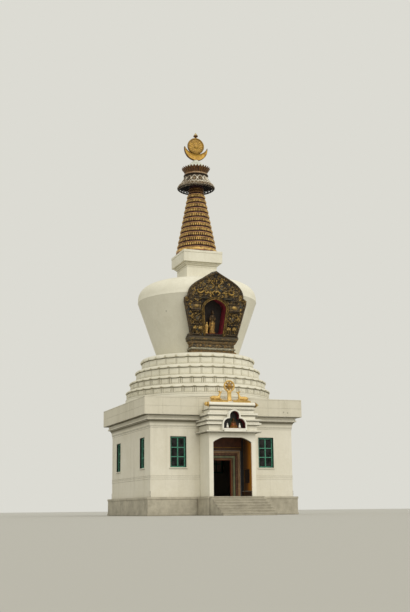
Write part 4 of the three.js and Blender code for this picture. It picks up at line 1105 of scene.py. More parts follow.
def petal(body, centre, line, half, top, low, out, drawn, mark=0):
    """Hanging petal: a bulging sheet with rounded lower corners that follows the lip."""
    outer, inner = [], []
    for v in (0, 0.25, 0.5, 0.72, 0.88, 0.97, 1.0):
        swell = out * math.sin(math.pi * min(1, 0.12 + 0.8 * v)) - 0.022 * max(0, v - 0.9) / 0.1
        row_out, row_in = [], []
        for u in (-1, -0.97, -0.88, -0.7, -0.35, 0, 0.35, 0.7, 0.88, 0.97, 1):
            corner = 0.062 * abs(u) ** 6 + 0.008 * u * u
            z = top + (low + corner - top) * v
            crown = 0.01 * (1 - u * u) - 0.02 * abs(u) ** 12
            lip = float(np.interp(z, *line)) - drawn
            angle = centre + u * half / line[1][0]
            for row, r in ((row_out, lip + swell + crown), (row_in, lip - PETAL_THICKNESS)):
                row.append((r * math.cos(angle), r * math.sin(angle), z))
        outer.append(row_out)
        inner.append(row_in)
    points, faces = closed_pair(np.array(outer), np.array(inner))
    body.add(points, faces, mark)


def build_tier(number, foot, top, panel, lip, lip_z, count, first):
    body = Body()
    back = panel - 0.022
    core = [(0, foot), (panel + 0.012, foot), (panel + 0.018, foot + 0.012), (panel + 0.018, foot + 0.045),
            (panel + 0.004, foot + 0.058), (back, foot + 0.062), (back, lip_z - 0.042),
            (back - 0.035, lip_z - 0.038), (back - 0.035, lip_z - 0.006), (panel + 0.015, lip_z),
            (lip - 0.046, lip_z + 0.034), (lip - 0.024, lip_z + 0.052), (lip - 0.018, lip_z + 0.072),
            (lip - 0.044, top - 0.112), (lip - 0.112, top - 0.05), (lip - 0.232, top - 0.002),
            (0, top - 0.002)]
    # The wall behind the panels and the groove and core behind the petals are greyer: painted shade
    turned(body, core, ROUND, [0] * 5 + [1] * 4 + [2] * 4 + [0] * 3)
    line = lip_line(lip, lip_z, top)
    pitch = TAU / count
    low = foot + 0.064
    high = lip_z - 0.04
    for k in range(count):
        centre = math.radians(first) + k * pitch
        # Wide petals, then small ones in the gaps, which take the greyer limewash as painted shade
        petal(body, centre, line, 0.44 * pitch * lip, top - 0.012, lip_z - 0.012, 0.01, 0.012)
        petal(body, centre + pitch / 2, line, 0.1 * pitch * lip, lip_z + 0.085, lip_z + 0.02,
              0.004, 0.045, 2)
        face = on_round(back, centre)
        gap = on_round(back, centre + pitch / 2)
        half = pitch * back / 2
        if number <= 2:
            inside = half - 0.118
            pillow(body, face, (-inside, inside), (low + 0.012, high), (-0.02, 0.018), 0.008)
            pillow(body, face, (-inside + 0.055, inside - 0.055), (low + 0.055, high - 0.065),
                   (0.015, 0.032), 0.01)
            for side in (-1, 1):
                middle = side * 0.052
                pillow(body, gap, (middle - 0.026, middle + 0.026), (low, high + 0.004),
                       (-0.02, 0.036), 0.008)
                pillow(body, gap, (middle - 0.037, middle + 0.037), (high - 0.045, high - 0.015),
                       (-0.02, 0.05), 0.007)
                pillow(body, gap, (middle - 0.037, middle + 0.037), (low, low + 0.03), (-0.02, 0.05), 0.007)
        else:
            inside = half - 0.045
            pillow(body, face, (-inside, inside), (low + 0.012, high), (-0.02, 0.016), 0.01)
            pillow(body, face, (-inside + 0.075, inside - 0.075), (low + 0.075, high - 0.07),
                   (0.012, 0.03), 0.014)
            pillow(body, gap, (-0.018, 0.018), (low, high + 0.004), (-0.02, 0.022), 0.007)
        if number == 1:
            rise = high - 0.06 - (low + 0.06)
            for side in (-1, 1):
                bar_place = slanted(face, (side * 0.02, low + 0.07),
                                    (side * (inside - 0.09), low + 0.05 + rise))
                pillow(body, bar_place, (-0.014, 0.014), (0.0, 1.0), (0.03, 0.048), 0.006)
    piece(f"lotus_tier_{number}_plaster", body, ["tier_limewash", "recess_shade_limewash", "petal_gap_shade_limewash"],
          [f"lotus_tier_{number}"])


def build_drum():
    body = Body()
    radius = 4.6
    profile = [(0, CORNICE_TOP), (radius - 0.02, CORNICE_TOP), (radius - 0.02, 6.86),
               (radius - 0.035, 6.872), (radius - 0.035, 6.892), (radius - 0.012, 6.905),
               (radius - 0.004, 6.93), (radius - 0.004, 7.065), (radius - 0.014, 7.08),
               (radius - 0.014, 7.092), (radius, 7.1), (radius, 7.128), (radius - 0.018, 7.145), (0, 7.145)]
    turned(body, profile, ROUND)
    piece("lotus_drum_plaster", body, ["limewash"], ["lotus_drum"])


def off_segment(x, z, x0, z0, x1, z1):
    """Distance from a straight piece of line."""
    dx, dz = x1 - x0, z1 - z0
    t = np.clip(((x - x0) * dx + (z - z0) * dz) / (dx * dx + dz * dz), 0, 1)
    return np.hypot(x - x0 - t * dx, z - z0 - t * dz)


def away_from(line, x, z):
    """Distance from a polyline of (x, z) points on the right side, or from its mirror image on the left."""
    nearest = np.full(x.shape, 9.0)
    for start, end in zip(line, line[1:]):
        nearest = np.minimum(nearest, off_segment(np.abs(x), z, *start, *end))
    return nearest


class Relief:
    """Height over a flat ground, with how gilded and how blue-grey each point is.
    Forms are placed to the right of a centre line, or to the left of it with hand -1."""

    def __init__(self, x, z):
        self.x, self.z = x, z
        self.h = 0.004 * np.sin(31 * x + 9 * z) * np.sin(27 * z - 11 * x)
        self.gilt = np.full(x.shape, 0.3)
        self.tint = np.zeros(x.shape)
        self.aim(0.0, 1)

    def aim(self, centre, hand):
        self.centre, self.hand = centre, hand

    def across(self, x):
        return self.centre + self.hand * x

    def lay(self, share, height, gilt, tint=0.0, part=Ellipsis):
        """Raises a form: share is 0 to 1 over the part. The highest form at a point is the one that shows."""
        share = np.clip(share, 0, 1)
        won = (share * height > self.h[part]) & (share > 0)
        self.h[part] = np.where(won, share * height, self.h[part])
        self.gilt[part] = np.where(won, gilt * (0.45 + 0.55 * share), self.gilt[part])
        self.tint[part] = np.where(won, tint, self.tint[part])

    def oval(self, cx, cz, rx, rz, height, gilt, tint=0.0, turn=0.0):
        dx, dz = self.x - self.across(cx), self.z - cz
        turn *= self.hand
        u = dx * math.cos(turn) + dz * math.sin(turn)
        v = dz * math.cos(turn) - dx * math.sin(turn)
        self.lay(np.sqrt(np.clip(1 - (u / rx) ** 2 - (v / rz) ** 2, 0, None)), height, gilt, tint)

    def bar(self, x0, z0, x1, z1, width, height, gilt):
        away = off_segment(self.x, self.z, self.across(x0), z0, self.across(x1), z1)
        self.lay(np.sqrt(np.clip(1 - (away / width) ** 2, 0, None)), height, gilt)

    def slab(self, cx, cz, half_x, half_z, height, gilt, tint=0.0):
        inside = (np.abs(self.x - self.across(cx)) < half_x) & (np.abs(self.z - cz) < half_z)
        self.lay(inside * 1.0, height, gilt, tint)

    def scroll(self, cx, cz, reach, height, gilt, hand=1, turns=1.5, tint=0.0):
        cx = self.across(cx)
        near = (np.abs(self.x - cx) < reach) & (np.abs(self.z - cz) < reach)
        dx, dz = self.x[near] - cx, self.z[near] - cz
        away = np.hypot(dx, dz) / reach
        turn = np.arctan2(dz, dx * hand * self.hand)
        wave = 0.5 + 0.5 * np.cos(turn + TAU * turns * away ** 0.8)
        share = wave ** 0.8 * np.clip((1 - away) * 5, 0, 1) * (1 - 0.25 * away)
        self.lay(share, height, gilt, tint, near)

    def hook(self, cx, cz, radius, width, height, gilt, start, end):
        """Part of a ring between two angles in degrees."""
        dx, dz = (self.x - self.across(cx)) * self.hand, self.z - cz
        middle, half = math.radians((start + end) / 2), math.radians(abs(end - start) / 2)
        off = np.abs((np.arctan2(dz, dx) - middle + math.pi) % TAU - math.pi)
        slim = np.clip(1.15 - (off / half) ** 2, 0, 1)
        away = np.abs(np.hypot(dx, dz) - radius) / (width * (0.3 + 0.7 * slim))
        self.lay(np.sqrt(np.clip(1 - away ** 2, 0, None)) * (off < half), height, gilt)

    def groove(self, cx, cz, half_x, half_z, depth):
        inside = (np.abs(self.x - self.across(cx)) < half_x) & (np.abs(self.z - cz) < half_z)
        self.h[inside] -= depth
        self.gilt[inside] = 0.05

    def draw(self, kind, rows):
        for row in rows:
            getattr(self, kind)(*row)


def lay_foliage(r):
    """Small leaves and tendrils that fill the ground."""
    draw = random.Random(23)
    step = 0.15
    for row in range(27):
        for column in range(-14, 15):
            cx = (column + 0.5 * (row % 2)) * step + draw.uniform(-0.02, 0.02)
            cz = 0.06 + row * step + draw.uniform(-0.02, 0.02)
            hand, turns = draw.choice((-1, 1)), 0.8 + 0.5 * draw.random()
            height, gilt = 0.04 + 0.024 * draw.random(), 0.3 + 0.75 * draw.random() ** 1.5
            r.scroll(cx, cz, 0.1, height, gilt, hand, turns, 0.9 if draw.random() < 0.16 else 0.0)


def lay_tympanum(r):
    """Winged figure in the middle, scrolling tails and leaves on both sides."""
    draw = random.Random(11)
    for side in (-1, 1):
        r.aim(0.0, side)
        for cx, cz, reach in ((1.36, 3.08, 0.17), (1.53, 2.8, 0.17), (1.12, 3.3, 0.15), (0.86, 3.42, 0.14),
                              (0.56, 3.5, 0.14), (0.27, 3.62, 0.12), (1.62, 2.52, 0.13), (0.66, 2.5, 0.12),
                              (0.3, 2.5, 0.11), (1.02, 2.48, 0.12), (0.78, 3.16, 0.13)):
            gilt = 0.45 + 0.35 * draw.random()
            r.scroll(cx, cz, reach, 0.055, gilt, draw.choice((-1, 1)), 1.3 + 0.5 * draw.random())
        for k in range(5):
            turn = math.radians(62 - 24 * k)
            end = 0.16 + 0.34 * math.cos(turn), 3.04 + 0.34 * math.sin(turn)
            r.bar(0.13, 3.04, *end, 0.028, 0.08, 0.55 if k % 2 else 0.8)
        r.draw("scroll", ((1.06, 3.0, 0.24, 0.085, 0.62, 1, 1.7), (0.62, 2.92, 0.22, 0.08, 0.6, -1, 1.6),
                          (1.36, 2.66, 0.19, 0.075, 0.66, 1, 1.5), (0.13, 3.48, 0.09, 0.08, 0.7, 1, 1.2)))
        r.draw("oval", ((0.33, 3.06, 0.13, 0.19, 0.06, 0.25, 1.0, 0.3),
                        (0.3, 2.84, 0.1, 0.12, 0.07, 0.3, 0.9, -0.3),
                        (0.5, 2.68, 0.15, 0.045, 0.09, 0.85, 0.0, 0.35),
                        (0.036, 3.27, 0.02, 0.012, 0.168, 0.2)))
        r.draw("bar", ((0.12, 3.12, 0.34, 3.28, 0.045, 0.11, 0.72),
                       (0.34, 3.28, 0.26, 3.42, 0.035, 0.11, 0.8),
                       (0.08, 2.78, 0.26, 2.66, 0.06, 0.11, 0.78),
                       (0.26, 2.66, 0.14, 2.52, 0.045, 0.105, 0.85)))
    r.aim(0.0, 1)
    r.draw("hook", ((-1.02, 2.83, 0.2, 0.06, 0.125, 1.15, 195, 350),
                    (1.02, 2.78, 0.19, 0.06, 0.125, 1.15, 190, 345),
                    (-0.62, 2.76, 0.13, 0.04, 0.11, 1.0, 200, 350),
                    (0.62, 2.76, 0.13, 0.04, 0.11, 1.0, 190, 340)))
    r.draw("oval", ((0, 2.92, 0.14, 0.23, 0.13, 0.55, 0.3), (0, 2.72, 0.11, 0.09, 0.14, 0.75),
                    (0, 3.25, 0.095, 0.115, 0.15, 0.6), (0, 3.22, 0.03, 0.05, 0.175, 0.9),
                    (0, 3.4, 0.06, 0.08, 0.12, 0.9)))
    for dx, dz in ((-0.06, 2.98), (0.06, 2.98), (0.0, 2.84), (-0.05, 2.72), (0.06, 2.7)):
        r.scroll(dx, dz, 0.07, 0.16, 0.8, 1 if dx > 0 else -1, 1.0)


def lay_column(r, side):
    """One side of the arch: animals at the foot, a rearing figure, then a capital with a boss."""
    r.aim(side * 1.17, side)
    for x, size in ((-0.25, 1.0), (0.12, 0.92)):
        r.oval(x, 0.44, 0.175 * size, 0.115, 0.125, 0.8)
        r.oval(x - 0.02, 0.53, 0.085 * size, 0.065, 0.15, 0.95)
        r.bar(x - 0.01, 0.46, x - 0.02, 0.2, 0.03, 0.15, 0.6)
        r.scroll(x + 0.02, 0.36, 0.075, 0.15, 0.55, 1, 1.0)
        for leg in (-1, 1):
            r.bar(x + leg * 0.095, 0.38, x + leg * 0.105, 0.13, 0.036, 0.1, 0.5)
            r.oval(x + leg * 0.115 * size, 0.5, 0.046, 0.06, 0.12, 0.62)
    r.slab(0.1, 1.79, 0.33, 0.17, 0.065, 0.45)
    r.draw("oval", ((0, 0.08, 0.42, 0.055, 0.08, 0.4), (-0.02, 1.05, 0.135, 0.205, 0.105, 0.45, 0.5, -0.35),
                    (0.1, 1.33, 0.08, 0.08, 0.13, 0.7), (0.37, 1.79, 0.06, 0.12, 0.11, 0.55, 0.9),
                    (0.08, 1.79, 0.2, 0.125, 0.125, 0.72 if side < 0 else 0.88),
                    (-0.17, 1.79, 0.05, 0.12, 0.105, 0.65)))
    r.draw("bar", ((0.06, 1.18, -0.22, 1.36, 0.03, 0.11, 0.62),
                   (-0.22, 1.36, -0.25, 1.46, 0.024, 0.11, 0.72),
                   (0.1, 0.98, 0.3, 0.86, 0.034, 0.105, 0.55),
                   (-0.06, 0.92, -0.2, 0.78, 0.038, 0.105, 0.6)))
    for dx, dz, reach in ((0.02, 1.12, 0.11), (-0.08, 0.96, 0.1), (0.24, 1.02, 0.11), (0.02, 0.84, 0.1),
                          (-0.26, 0.9, 0.09), (0.3, 1.24, 0.1), (-0.05, 1.44, 0.1)):
        r.scroll(dx, dz, reach, 0.125, 0.7 if dx > 0 else 0.85, 1 if dz > 1 else -1, 1.1)
    r.hook(0.2, 1.16, 0.15, 0.036, 0.105, 0.95, -80, 80)
    r.draw("scroll", ((-0.24, 1.08, 0.12, 0.075, 0.55, 1, 1.3), (0.26, 1.4, 0.11, 0.07, 0.5, -1, 1.3),
                      (-0.22, 1.28, 0.09, 0.07, 0.6, -1, 1.3), (0.2, 2.17, 0.13, 0.085, 0.55, 1, 1.5),
                      (-0.1, 2.15, 0.12, 0.08, 0.62, -1, 1.5)))
    for level, half in ((1.995, 0.36), (1.585, 0.36), (0.685, 0.38), (1.5, 0.34)):
        r.slab(0.05, level, half, 0.028, 0.095, 0.42)
        r.groove(0.05, level - 0.045, half, 0.017, 0.03)


def shrine_relief(x, z):
    r = Relief(x, z)
    edge = away_from(SIDE_LINE, x, z)
    arch = away_from(ARCH_LINE, x, z)
    lay_foliage(r)
    lay_tympanum(r)
    for side in (-1, 1):
        lay_column(r, side)
        r.aim(0.0, side)
        r.scroll(1.885, 2.215, 0.185, 0.12, 0.72, 1, 1.6)
        r.scroll(1.6, 2.2, 0.12, 0.085, 0.55, -1, 1.3)
        for k in range(9):
            up = 0.14 + 0.21 * k
            r.scroll(1.425 + 0.2525 * up, up, 0.095, 0.06, 0.42 + 0.1 * (k % 3), (-1) ** k, 1.2)
        r.slab(0.76, 2.315, 0.27, 0.03, 0.14, 0.5, 0.75)
        r.slab(0.7, 2.385, 0.2, 0.022, 0.11, 0.42, 0.4)
    # Bead row and plain rim round the outside, rolls round the arch
    along = np.arctan2(z - 2.2, np.abs(x))
    beads = np.clip(1 - (np.abs(edge - 0.165) / 0.026) ** 2, 0, None) * (0.55 + 0.45 * np.cos(84 * along))
    r.lay(beads * (z > 2.42), 0.06, 0.55)
    r.lay(np.clip(1 - (np.abs(edge - 0.06) / 0.064) ** 4, 0, None), 0.085, 0.4)
    r.lay(np.clip(1 - (np.abs(edge - 0.118) / 0.022) ** 2, 0, None), 0.08, 0.5)
    for middle, width, height, gilt in ((0.026, 0.028, 0.105, 0.78), (0.08, 0.03, 0.08, 0.6),
                                        (0.135, 0.024, 0.1, 0.72)):
        r.lay(np.sqrt(np.clip(1 - (np.abs(arch - middle) / width) ** 2, 0, None)), height, gilt)
    r.h += 0.005 * np.sin(57 * x + 20 * z) * np.sin(49 * z - 17 * x)
    return r


def build_shrine():
    """The arched frame: a relief sheet in front, a plain back, and walls at its edges and round the arch."""
    rows = np.concatenate([np.linspace(0, ARCH_FOOT, 9), np.linspace(ARCH_FOOT, SHRINE_TIP, 226)[1:]])
    order = np.argsort(SIDE_LINE[:, 1], kind="stable")
    outer = np.interp(rows, SIDE_LINE[order, 1], SIDE_LINE[order, 0])[:, None]
    inner = np.interp(rows, ARCH_LINE[:, 1], ARCH_LINE[:, 0])[:, None]
    inner[rows < ARCH_FOOT - 1e-6] = ARCH_HALF
    inner[rows >= ARCH_TIP] = 0.0
    columns = 96
    share = np.linspace(0, 1, columns)[None, :]

    def both_sides(outside):
        half = outside + (inner - outside) * share
        return np.concatenate([-half, half[:, ::-1]], axis=1)

    x = both_sides(outer)
    z = np.repeat(rows[:, None], 2 * columns, axis=1)
    soft = np.clip(away_from(SIDE_LINE, x, z) / 0.025, 0, 1) ** 0.5
    front = np.stack([x, -shrine_relief(x, z).h * (0.25 + 0.75 * soft), z], axis=-1)
    back = np.stack([both_sides(0.84 * outer), np.full_like(x, SHRINE_BACK), z], axis=-1)
    count, across = x.size, 2 * columns
    faces = []
    opening = rows[1:] <= ARCH_TIP + 1e-6
    for r in range(len(rows) - 1):
        for c in range(across - 1):
            if c == columns - 1 and opening[r]:
                continue
            a = r * across + c
            faces.append((a, a + 1, a + across + 1, a + across))
            faces.append((count + a, count + a + across, count + a + across + 1, count + a + 1))
        for c in (0, across - 1) + ((columns - 1, columns) if opening[r] else ()):
            a = r * across + c
            faces.append((a, a + across, count + a + across, count + a))
    for row in (0, len(rows) - 1):
        for c in range(across - 1):
            if c == columns - 1 and row == 0:
                continue
            a = row * across + c
            faces.append((a, a + 1, count + a + 1, count + a))
    body = Body()
    body.add([front, back], faces)
    x, y, z = np.array(body.points).T
    values = shrine_relief(x, z)
    plain = y > 0.02
    body.lean()
    made = piece("shrine_relief_frame", body, ["shrine_relief"], ["shrine_frame"], 60)
    give_values(made, gilt=np.where(plain, 0.34, values.gilt), tint=np.where(plain, 0.0, values.tint))


def build_recess():
    """Painted lining, sill and back of the shrine's arched recess."""
    outline = mirrored(ARCH_LINE)
    lining, rest = Body(), Body()
    lining.sheet(drawn_in(outline, [(0, 0.035), (0.008, 0.02), (0.018, 0.035), (0.018, RECESS_BACK),
                                    (0, RECESS_BACK + 0.01)]))
    lining.lean()
    piece("shrine_recess_lining", lining, ["crimson_paint"])
    prism(rest, outline, [(0.0, RECESS_BACK + 0.012), (0.0, RECESS_BACK)])
    block(rest, (-0.57, 0.005, 0.0), (0.57, SHRINE_BACK, 0.128), 0.012)
    ball_row(rest, 0.0, 0.065, 0.48, 0.12, (0.052, 0.045, 0.05))
    rest.lean()
    # The back panel takes the near-black paint: painted shade at the back of the recess
    rest.marks = [1 if len(face) > 8 else 0 for face in rest.faces]
    piece("shrine_recess_back", rest, ["dark_patina", "recess_back_shade"])


def build_pedestal():
    body = Body()
    back = -2.2
    foot = 9.752
    # Mouldings: half width, front, material, then (distance out, height) points
    mouldings = (
        (1.36, 3.0, 1, [(-0.1, foot), (0.118, foot), (0.118, foot + 0.045), (0.1, foot + 0.075),
                        (0.05, foot + 0.1), (0.03, foot + 0.13), (-0.1, foot + 0.13)]),
        (1.36, 3.0, 2, [(-0.1, 9.965), (0.075, 9.97), (0.085, 9.99), (0.085, 10.05), (0.07, 10.085),
                        (0.03, 10.1), (-0.1, 10.1)]),
        (1.36, 3.0, 1, [(-0.1, 10.33), (0.06, 10.34), (0.08, 10.36), (0.08, 10.395), (0.115, 10.41),
                        (0.12, 10.425), (0.12, 10.47), (0.1, 10.482), (-0.1, 10.482)]),
        (1.4, 3.02, 0, [(-0.1, 10.475), (0.06, 10.478), (0.085, 10.52), (0.13, 10.565), (0.165, 10.6),
                        (0.175, 10.625), (0.175, 10.66), (-0.1, 10.66)]),
        (1.42, 3.04, 3, [(-0.1, 10.655), (0.165, 10.66), (0.178, 10.675), (0.178, 10.745),
                         (0.165, 10.76), (0.145, 10.765), (0.145, 10.785), (0.178, 10.8),
                         (0.16, 10.82), (-0.1, 10.82)]))
    for half, front, mark, profile in mouldings:
        moulding(body, [(-half, back), (-half, -front), (half, -front), (half, back)], profile, mark=mark)
    for half, front, z0, z1, mark in ((1.385, 3.025, foot + 0.12, 9.99, 0), (1.375, 3.015, 10.09, 10.36, 0),
                                      (1.46, 3.06, 10.47, 10.815, 0), (1.54, 3.13, 10.815, 10.955, 3)):
        block(body, (-half, -front, z0), (half, back, z1), 0.01, mark)
    draw = random.Random(5)
    level = 10.225
    for k in range(13):
        x = -1.26 + 0.21 * k
        ball(body, (x, -3.015, level), (0.085, 0.045, 0.095), 6, 12, 1 if k % 3 else 3)
        ring = [(x + 0.105 + 0.055 * math.cos(TAU * n / 12), -3.025,
                 level + 0.085 * math.sin(TAU * n / 12)) for n in range(12)]
        if k < 12:
            tube(body, ring, 0.014 + 0.006 * draw.random(), 6, closed=True, mark=3 - 2 * (k % 2))
    ball_row(body, -3.05, 9.895, 1.33, 0.095, (0.042, 0.03, 0.075), 1)
    ball_row(body, -3.155, 10.545, 1.45, 0.105, (0.046, 0.04, 0.045), 3)
    ball_row(body, -3.195, 10.71, 1.5, 0.075, (0.024, 0.018, 0.024), 1)
    for side in (-1, 1):
        for k in range(3):
            ball(body, (side * 1.375, -2.86 + 0.22 * k, level), (0.045, 0.085, 0.095), 6, 12, 1)
        for k in range(8):
            ball(body, (side * 1.535, -3.05 + 0.105 * k, 10.545), (0.04, 0.046, 0.045), 6, 10, 3)
            ball(body, (side * 1.578, -3.1 + 0.105 * k, 10.71), (0.018, 0.024, 0.024), 6, 8, 1)
    looks = ["shrine_frieze_metal", "shrine_base_metal", "shrine_course_metal", "shrine_cornice_metal"]
    piece("shrine_pedestal_mouldings", body, looks, ["shrine_pedestal"])


def standing_figure(name, x, y, height, broad, look, node, voxel):
    """Robed figure with joined hands on a lotus base, at the foot height of the arch."""
    body = Body()
    unit = height / 7.6
    foot = Matrix.Translation((x, y, ARCH_FOOT))

    def oval(dx, dy, dz, half, rings=10, segments=16):
        ball(body, foot @ (Vector((dx, dy, dz)) * unit), [h * unit for h in half], rings, segments)

    def limb(points, radii, squeeze=1.0):
        tube(body, [foot @ (Vector(p) * unit) for p in points], [r * unit for r in radii], 12,
             squeeze=squeeze)

    def folds(angles, radius, z, row):
        low = np.clip(1 - z / (4.6 * unit), 0, 1)
        wave = 0.045 * np.sin(9 * angles + 1.2) + 0.03 * np.sin(17 * angles)
        flat = 1 - 0.22 * np.abs(np.sin(angles)) ** 2
        return radius * flat * (1 + wave * low * 1.6), z

    lotus = [(0, 0), (1.15, 0), (1.22, 0.05), (1.18, 0.14), (0.92, 0.24), (0.88, 0.3), (1.1, 0.38),
             (1.14, 0.46), (1.0, 0.54), (0, 0.56)]
    robe = [(0, 0.5), (0.86, 0.52), (0.9, 0.62), (0.8, 1.4), (0.72, 2.4), (0.7, 3.2), (0.66, 3.9),
            (0.6, 4.5), (0.68, 5.1), (0.74, 5.6), (0.62, 6.0), (0.3, 6.25), (0, 6.3)]
    for profile, segments, shape in ((lotus, 56, scalloped(0.045, 7)), (robe, 72, folds)):
        part = Body()
        turned(part, [(r * unit * broad, z * unit) for r, z in profile], segments, 0, shape)
        body.join(part, foot)
    for side in (-1, 1):
        wide = side * broad
        limb([(0.66 * wide, 0, 5.75), (0.86 * wide, -0.1, 4.9), (0.7 * wide, -0.42, 4.35),
              (side * 0.12, -0.72, 4.75)], [0.27, 0.25, 0.22, 0.13])
        limb([(0.8 * wide, -0.05, 4.6), (0.86 * wide, 0.0, 3.2), (0.92 * wide, 0.02, 1.7)],
             [0.2, 0.16, 0.06], 0.6)
        oval(0.62 * wide, 0, 5.72, (0.34, 0.34, 0.3))
        oval(side * 0.5, 0.02, 6.78, (0.07, 0.14, 0.26))
        oval(side * 0.18, -0.455, 7.0, (0.095, 0.05, 0.045))
        oval(side * 0.18, -0.45, 7.12, (0.12, 0.05, 0.03))
    limb([(0, 0.02, 6.0), (0, 0.0, 6.5)], [0.24, 0.22])
    limb([(0, -0.47, 7.08), (0, -0.56, 6.9)], [0.05, 0.08])
    # Hands, head, hair, topknot, lips and chin
    oval(0, -0.76, 4.92, (0.15, 0.1, 0.34))
    oval(0, 0.0, 6.95, (0.46, 0.5, 0.62), 14, 20)
    oval(0, 0.04, 7.22, (0.5, 0.52, 0.42), 12, 20)
    oval(0, 0.05, 7.62, (0.22, 0.22, 0.22))
    oval(0, -0.47, 6.7, (0.13, 0.07, 0.045))
    oval(0, -0.42, 6.5, (0.16, 0.1, 0.1))

    def draped(points):
        up = (points[:, 2] - ARCH_FOOT) / unit
        across = (points[:, 0] - x) / unit
        hem = np.sin(12 * (up - 0.35 * across ** 2))
        hem = hem * np.clip((up - 1.0) / 0.8, 0, 1) * np.clip((5.6 - up) / 0.8, 0, 1)
        curls = np.sin(26 * across) * np.sin(26 * up) * (up > 7.14)
        return unit * (0.022 * hem + 0.02 * curls)

    mesh = sculpted(body, voxel, 2, draped)
    mesh.transform(LEAN)
    piece(name, mesh, [look], [node], 70)


# Porch courses from below: half width, front, foot and top. The rounded ones are narrower at the foot
COURSES = [(1.7, 6.45, 4.665, 4.77), (1.49, 6.24, 4.77, 5.11), (1.68, 6.43, 5.11, 5.225),
           (1.59, 6.34, 5.225, 5.315), (1.7, 6.45, 5.315, 5.425), (1.43, 6.12, 5.425, 5.655),
           (1.55, 6.24, 5.655, 5.815), (1.37, 6.04, 5.815, 5.985), (1.43, 6.13, 5.985, 6.08),
           (1.35, 6.09, 6.08, 6.17), (1.33, 5.9, 6.17, 6.5)]
ROUNDED = (0, 4, 6, 8)
FILLETS = [(1.71, 6.46, 4.735, 4.757), (1.69, 6.44, 5.18, 5.206), (1.71, 6.46, 5.385, 5.408),
           (1.515, 6.265, 5.075, 5.1), (1.45, 6.14, 5.615, 5.64), (1.56, 6.25, 5.775, 5.797),
           (1.44, 6.14, 6.045, 6.062), (1.345, 5.915, 6.455, 6.485)]
NICHE_FRONT = 6.52
NICHE_BACK = 6.0
NICHE_RECESS = 6.09
NICHE_RIM = 0.09
NICHE_FOOT = 4.775
NICHE_FLOOR = 4.885
SILL_LOW = 4.69


def trefoil(margin, bottom, steps=14):
    """Closed outline of three lobes, from its lower right corner round to the left."""
    top_z, top_r, side_x, side_z = 5.595, 0.285 + margin, 0.315, 5.105
    side_r = 0.345 + margin
    dx, dz = side_x, top_z - side_z
    gap = math.hypot(dx, dz)
    along = (side_r ** 2 - top_r ** 2 + gap ** 2) / (2 * gap)
    across = math.sqrt(side_r ** 2 - along ** 2)
    meet_x = side_x - dx * along / gap + dz * across / gap
    meet_z = side_z + dz * along / gap + dx * across / gap
    side_turn = math.atan2(meet_z - side_z, meet_x - side_x)
    top_turn = math.atan2(meet_z - top_z, meet_x)
    points = [(side_x + side_r, bottom + (side_z - bottom) * k / 4) for k in range(4)]
    points += arc(side_x, side_z, side_r, 0, side_turn, steps)
    points += arc(0, top_z, top_r, top_turn, math.pi / 2, steps)[1:]
    return mirrored(np.array(points))


def course_back(z):
    """The courses end against the hall's wall, cornice or parapet."""
    if z < 5.48:
        return -4.35
    return -4.6 if z < 5.75 else -4.85


def build_entablature():
    body = Body()
    step = 0.03
    for number, (half, front, z0, z1) in enumerate(COURSES):
        back = course_back(z0)
        if number in ROUNDED:
            low = z0 + step
            block(body, (-half, -front, low), (half, back, z1), 0.01)
            block(body, (-half + step, -front + step, z0), (half - step, back, low + 0.01), 0.012)
        else:
            block(body, (-half, -front, z0), (half, back, z1), 0.008)
    for half, front, z0, z1 in FILLETS:
        block(body, (-half, -front, z0), (half, course_back(z0), z1))
    # Room for the niche
    cutter = Body()
    back = -NICHE_BACK - 0.02
    prism(cutter, trefoil(0.055, 4.8), [(0.0, back), (0.0, -7.0)])
    block(cutter, (-0.65, -7.0, 4.72), (0.65, back, 4.9), 0.0001)
    mesh = carved(body, cutter, own=True)
    piece("porch_mouldings", mesh, ["porch_white"], ["porch_entablature"])


def build_niche():
    body, lining = Body(), Body()
    front, back = -NICHE_FRONT, -NICHE_BACK
    rings = [(0.0, back), (0.0, front + 0.02), (0.012, front), (0.036, front - 0.006), (0.064, front),
             (0.08, front + 0.012), (NICHE_RIM, front + 0.035), (NICHE_RIM, back)]
    body.sheet(drawn_in(trefoil(NICHE_RIM, NICHE_FOOT), rings))
    # Sill, with a slab under it and a band along its front
    block(body, (-0.67, front - 0.05, SILL_LOW + 0.02), (0.67, back, NICHE_FLOOR), 0.012)
    block(body, (-0.65, front - 0.035, SILL_LOW), (0.65, back, SILL_LOW + 0.03), 0.008)
    block(body, (-0.68, front - 0.06, NICHE_FLOOR - 0.075), (0.68, back, NICHE_FLOOR - 0.012), 0.008)
    piece("niche_trefoil_surround", body, ["rim_white"], ["niche_surround"])
    inside = trefoil(0.004, NICHE_FLOOR + 0.001)
    rings = [(0, front + 0.05), (0.012, front + 0.05), (0.012, -NICHE_RECESS), (0, -NICHE_RECESS)]
    grid = np.array(drawn_in(inside, rings))
    faces = quads(4, grid.shape[1], around=True, along=True)
    x = grid[:, :, 0].reshape(-1)
    lining.add(grid, faces, [0 if np.mean(x[list(face)]) > -0.02 else 1 for face in faces])
    prism(lining, inside, [(0.0, back - 0.02), (0.0, -NICHE_RECESS)], mark=2)
    piece("niche_painted_lining", lining, ["niche_maroon", "niche_blue", "niche_dark"])


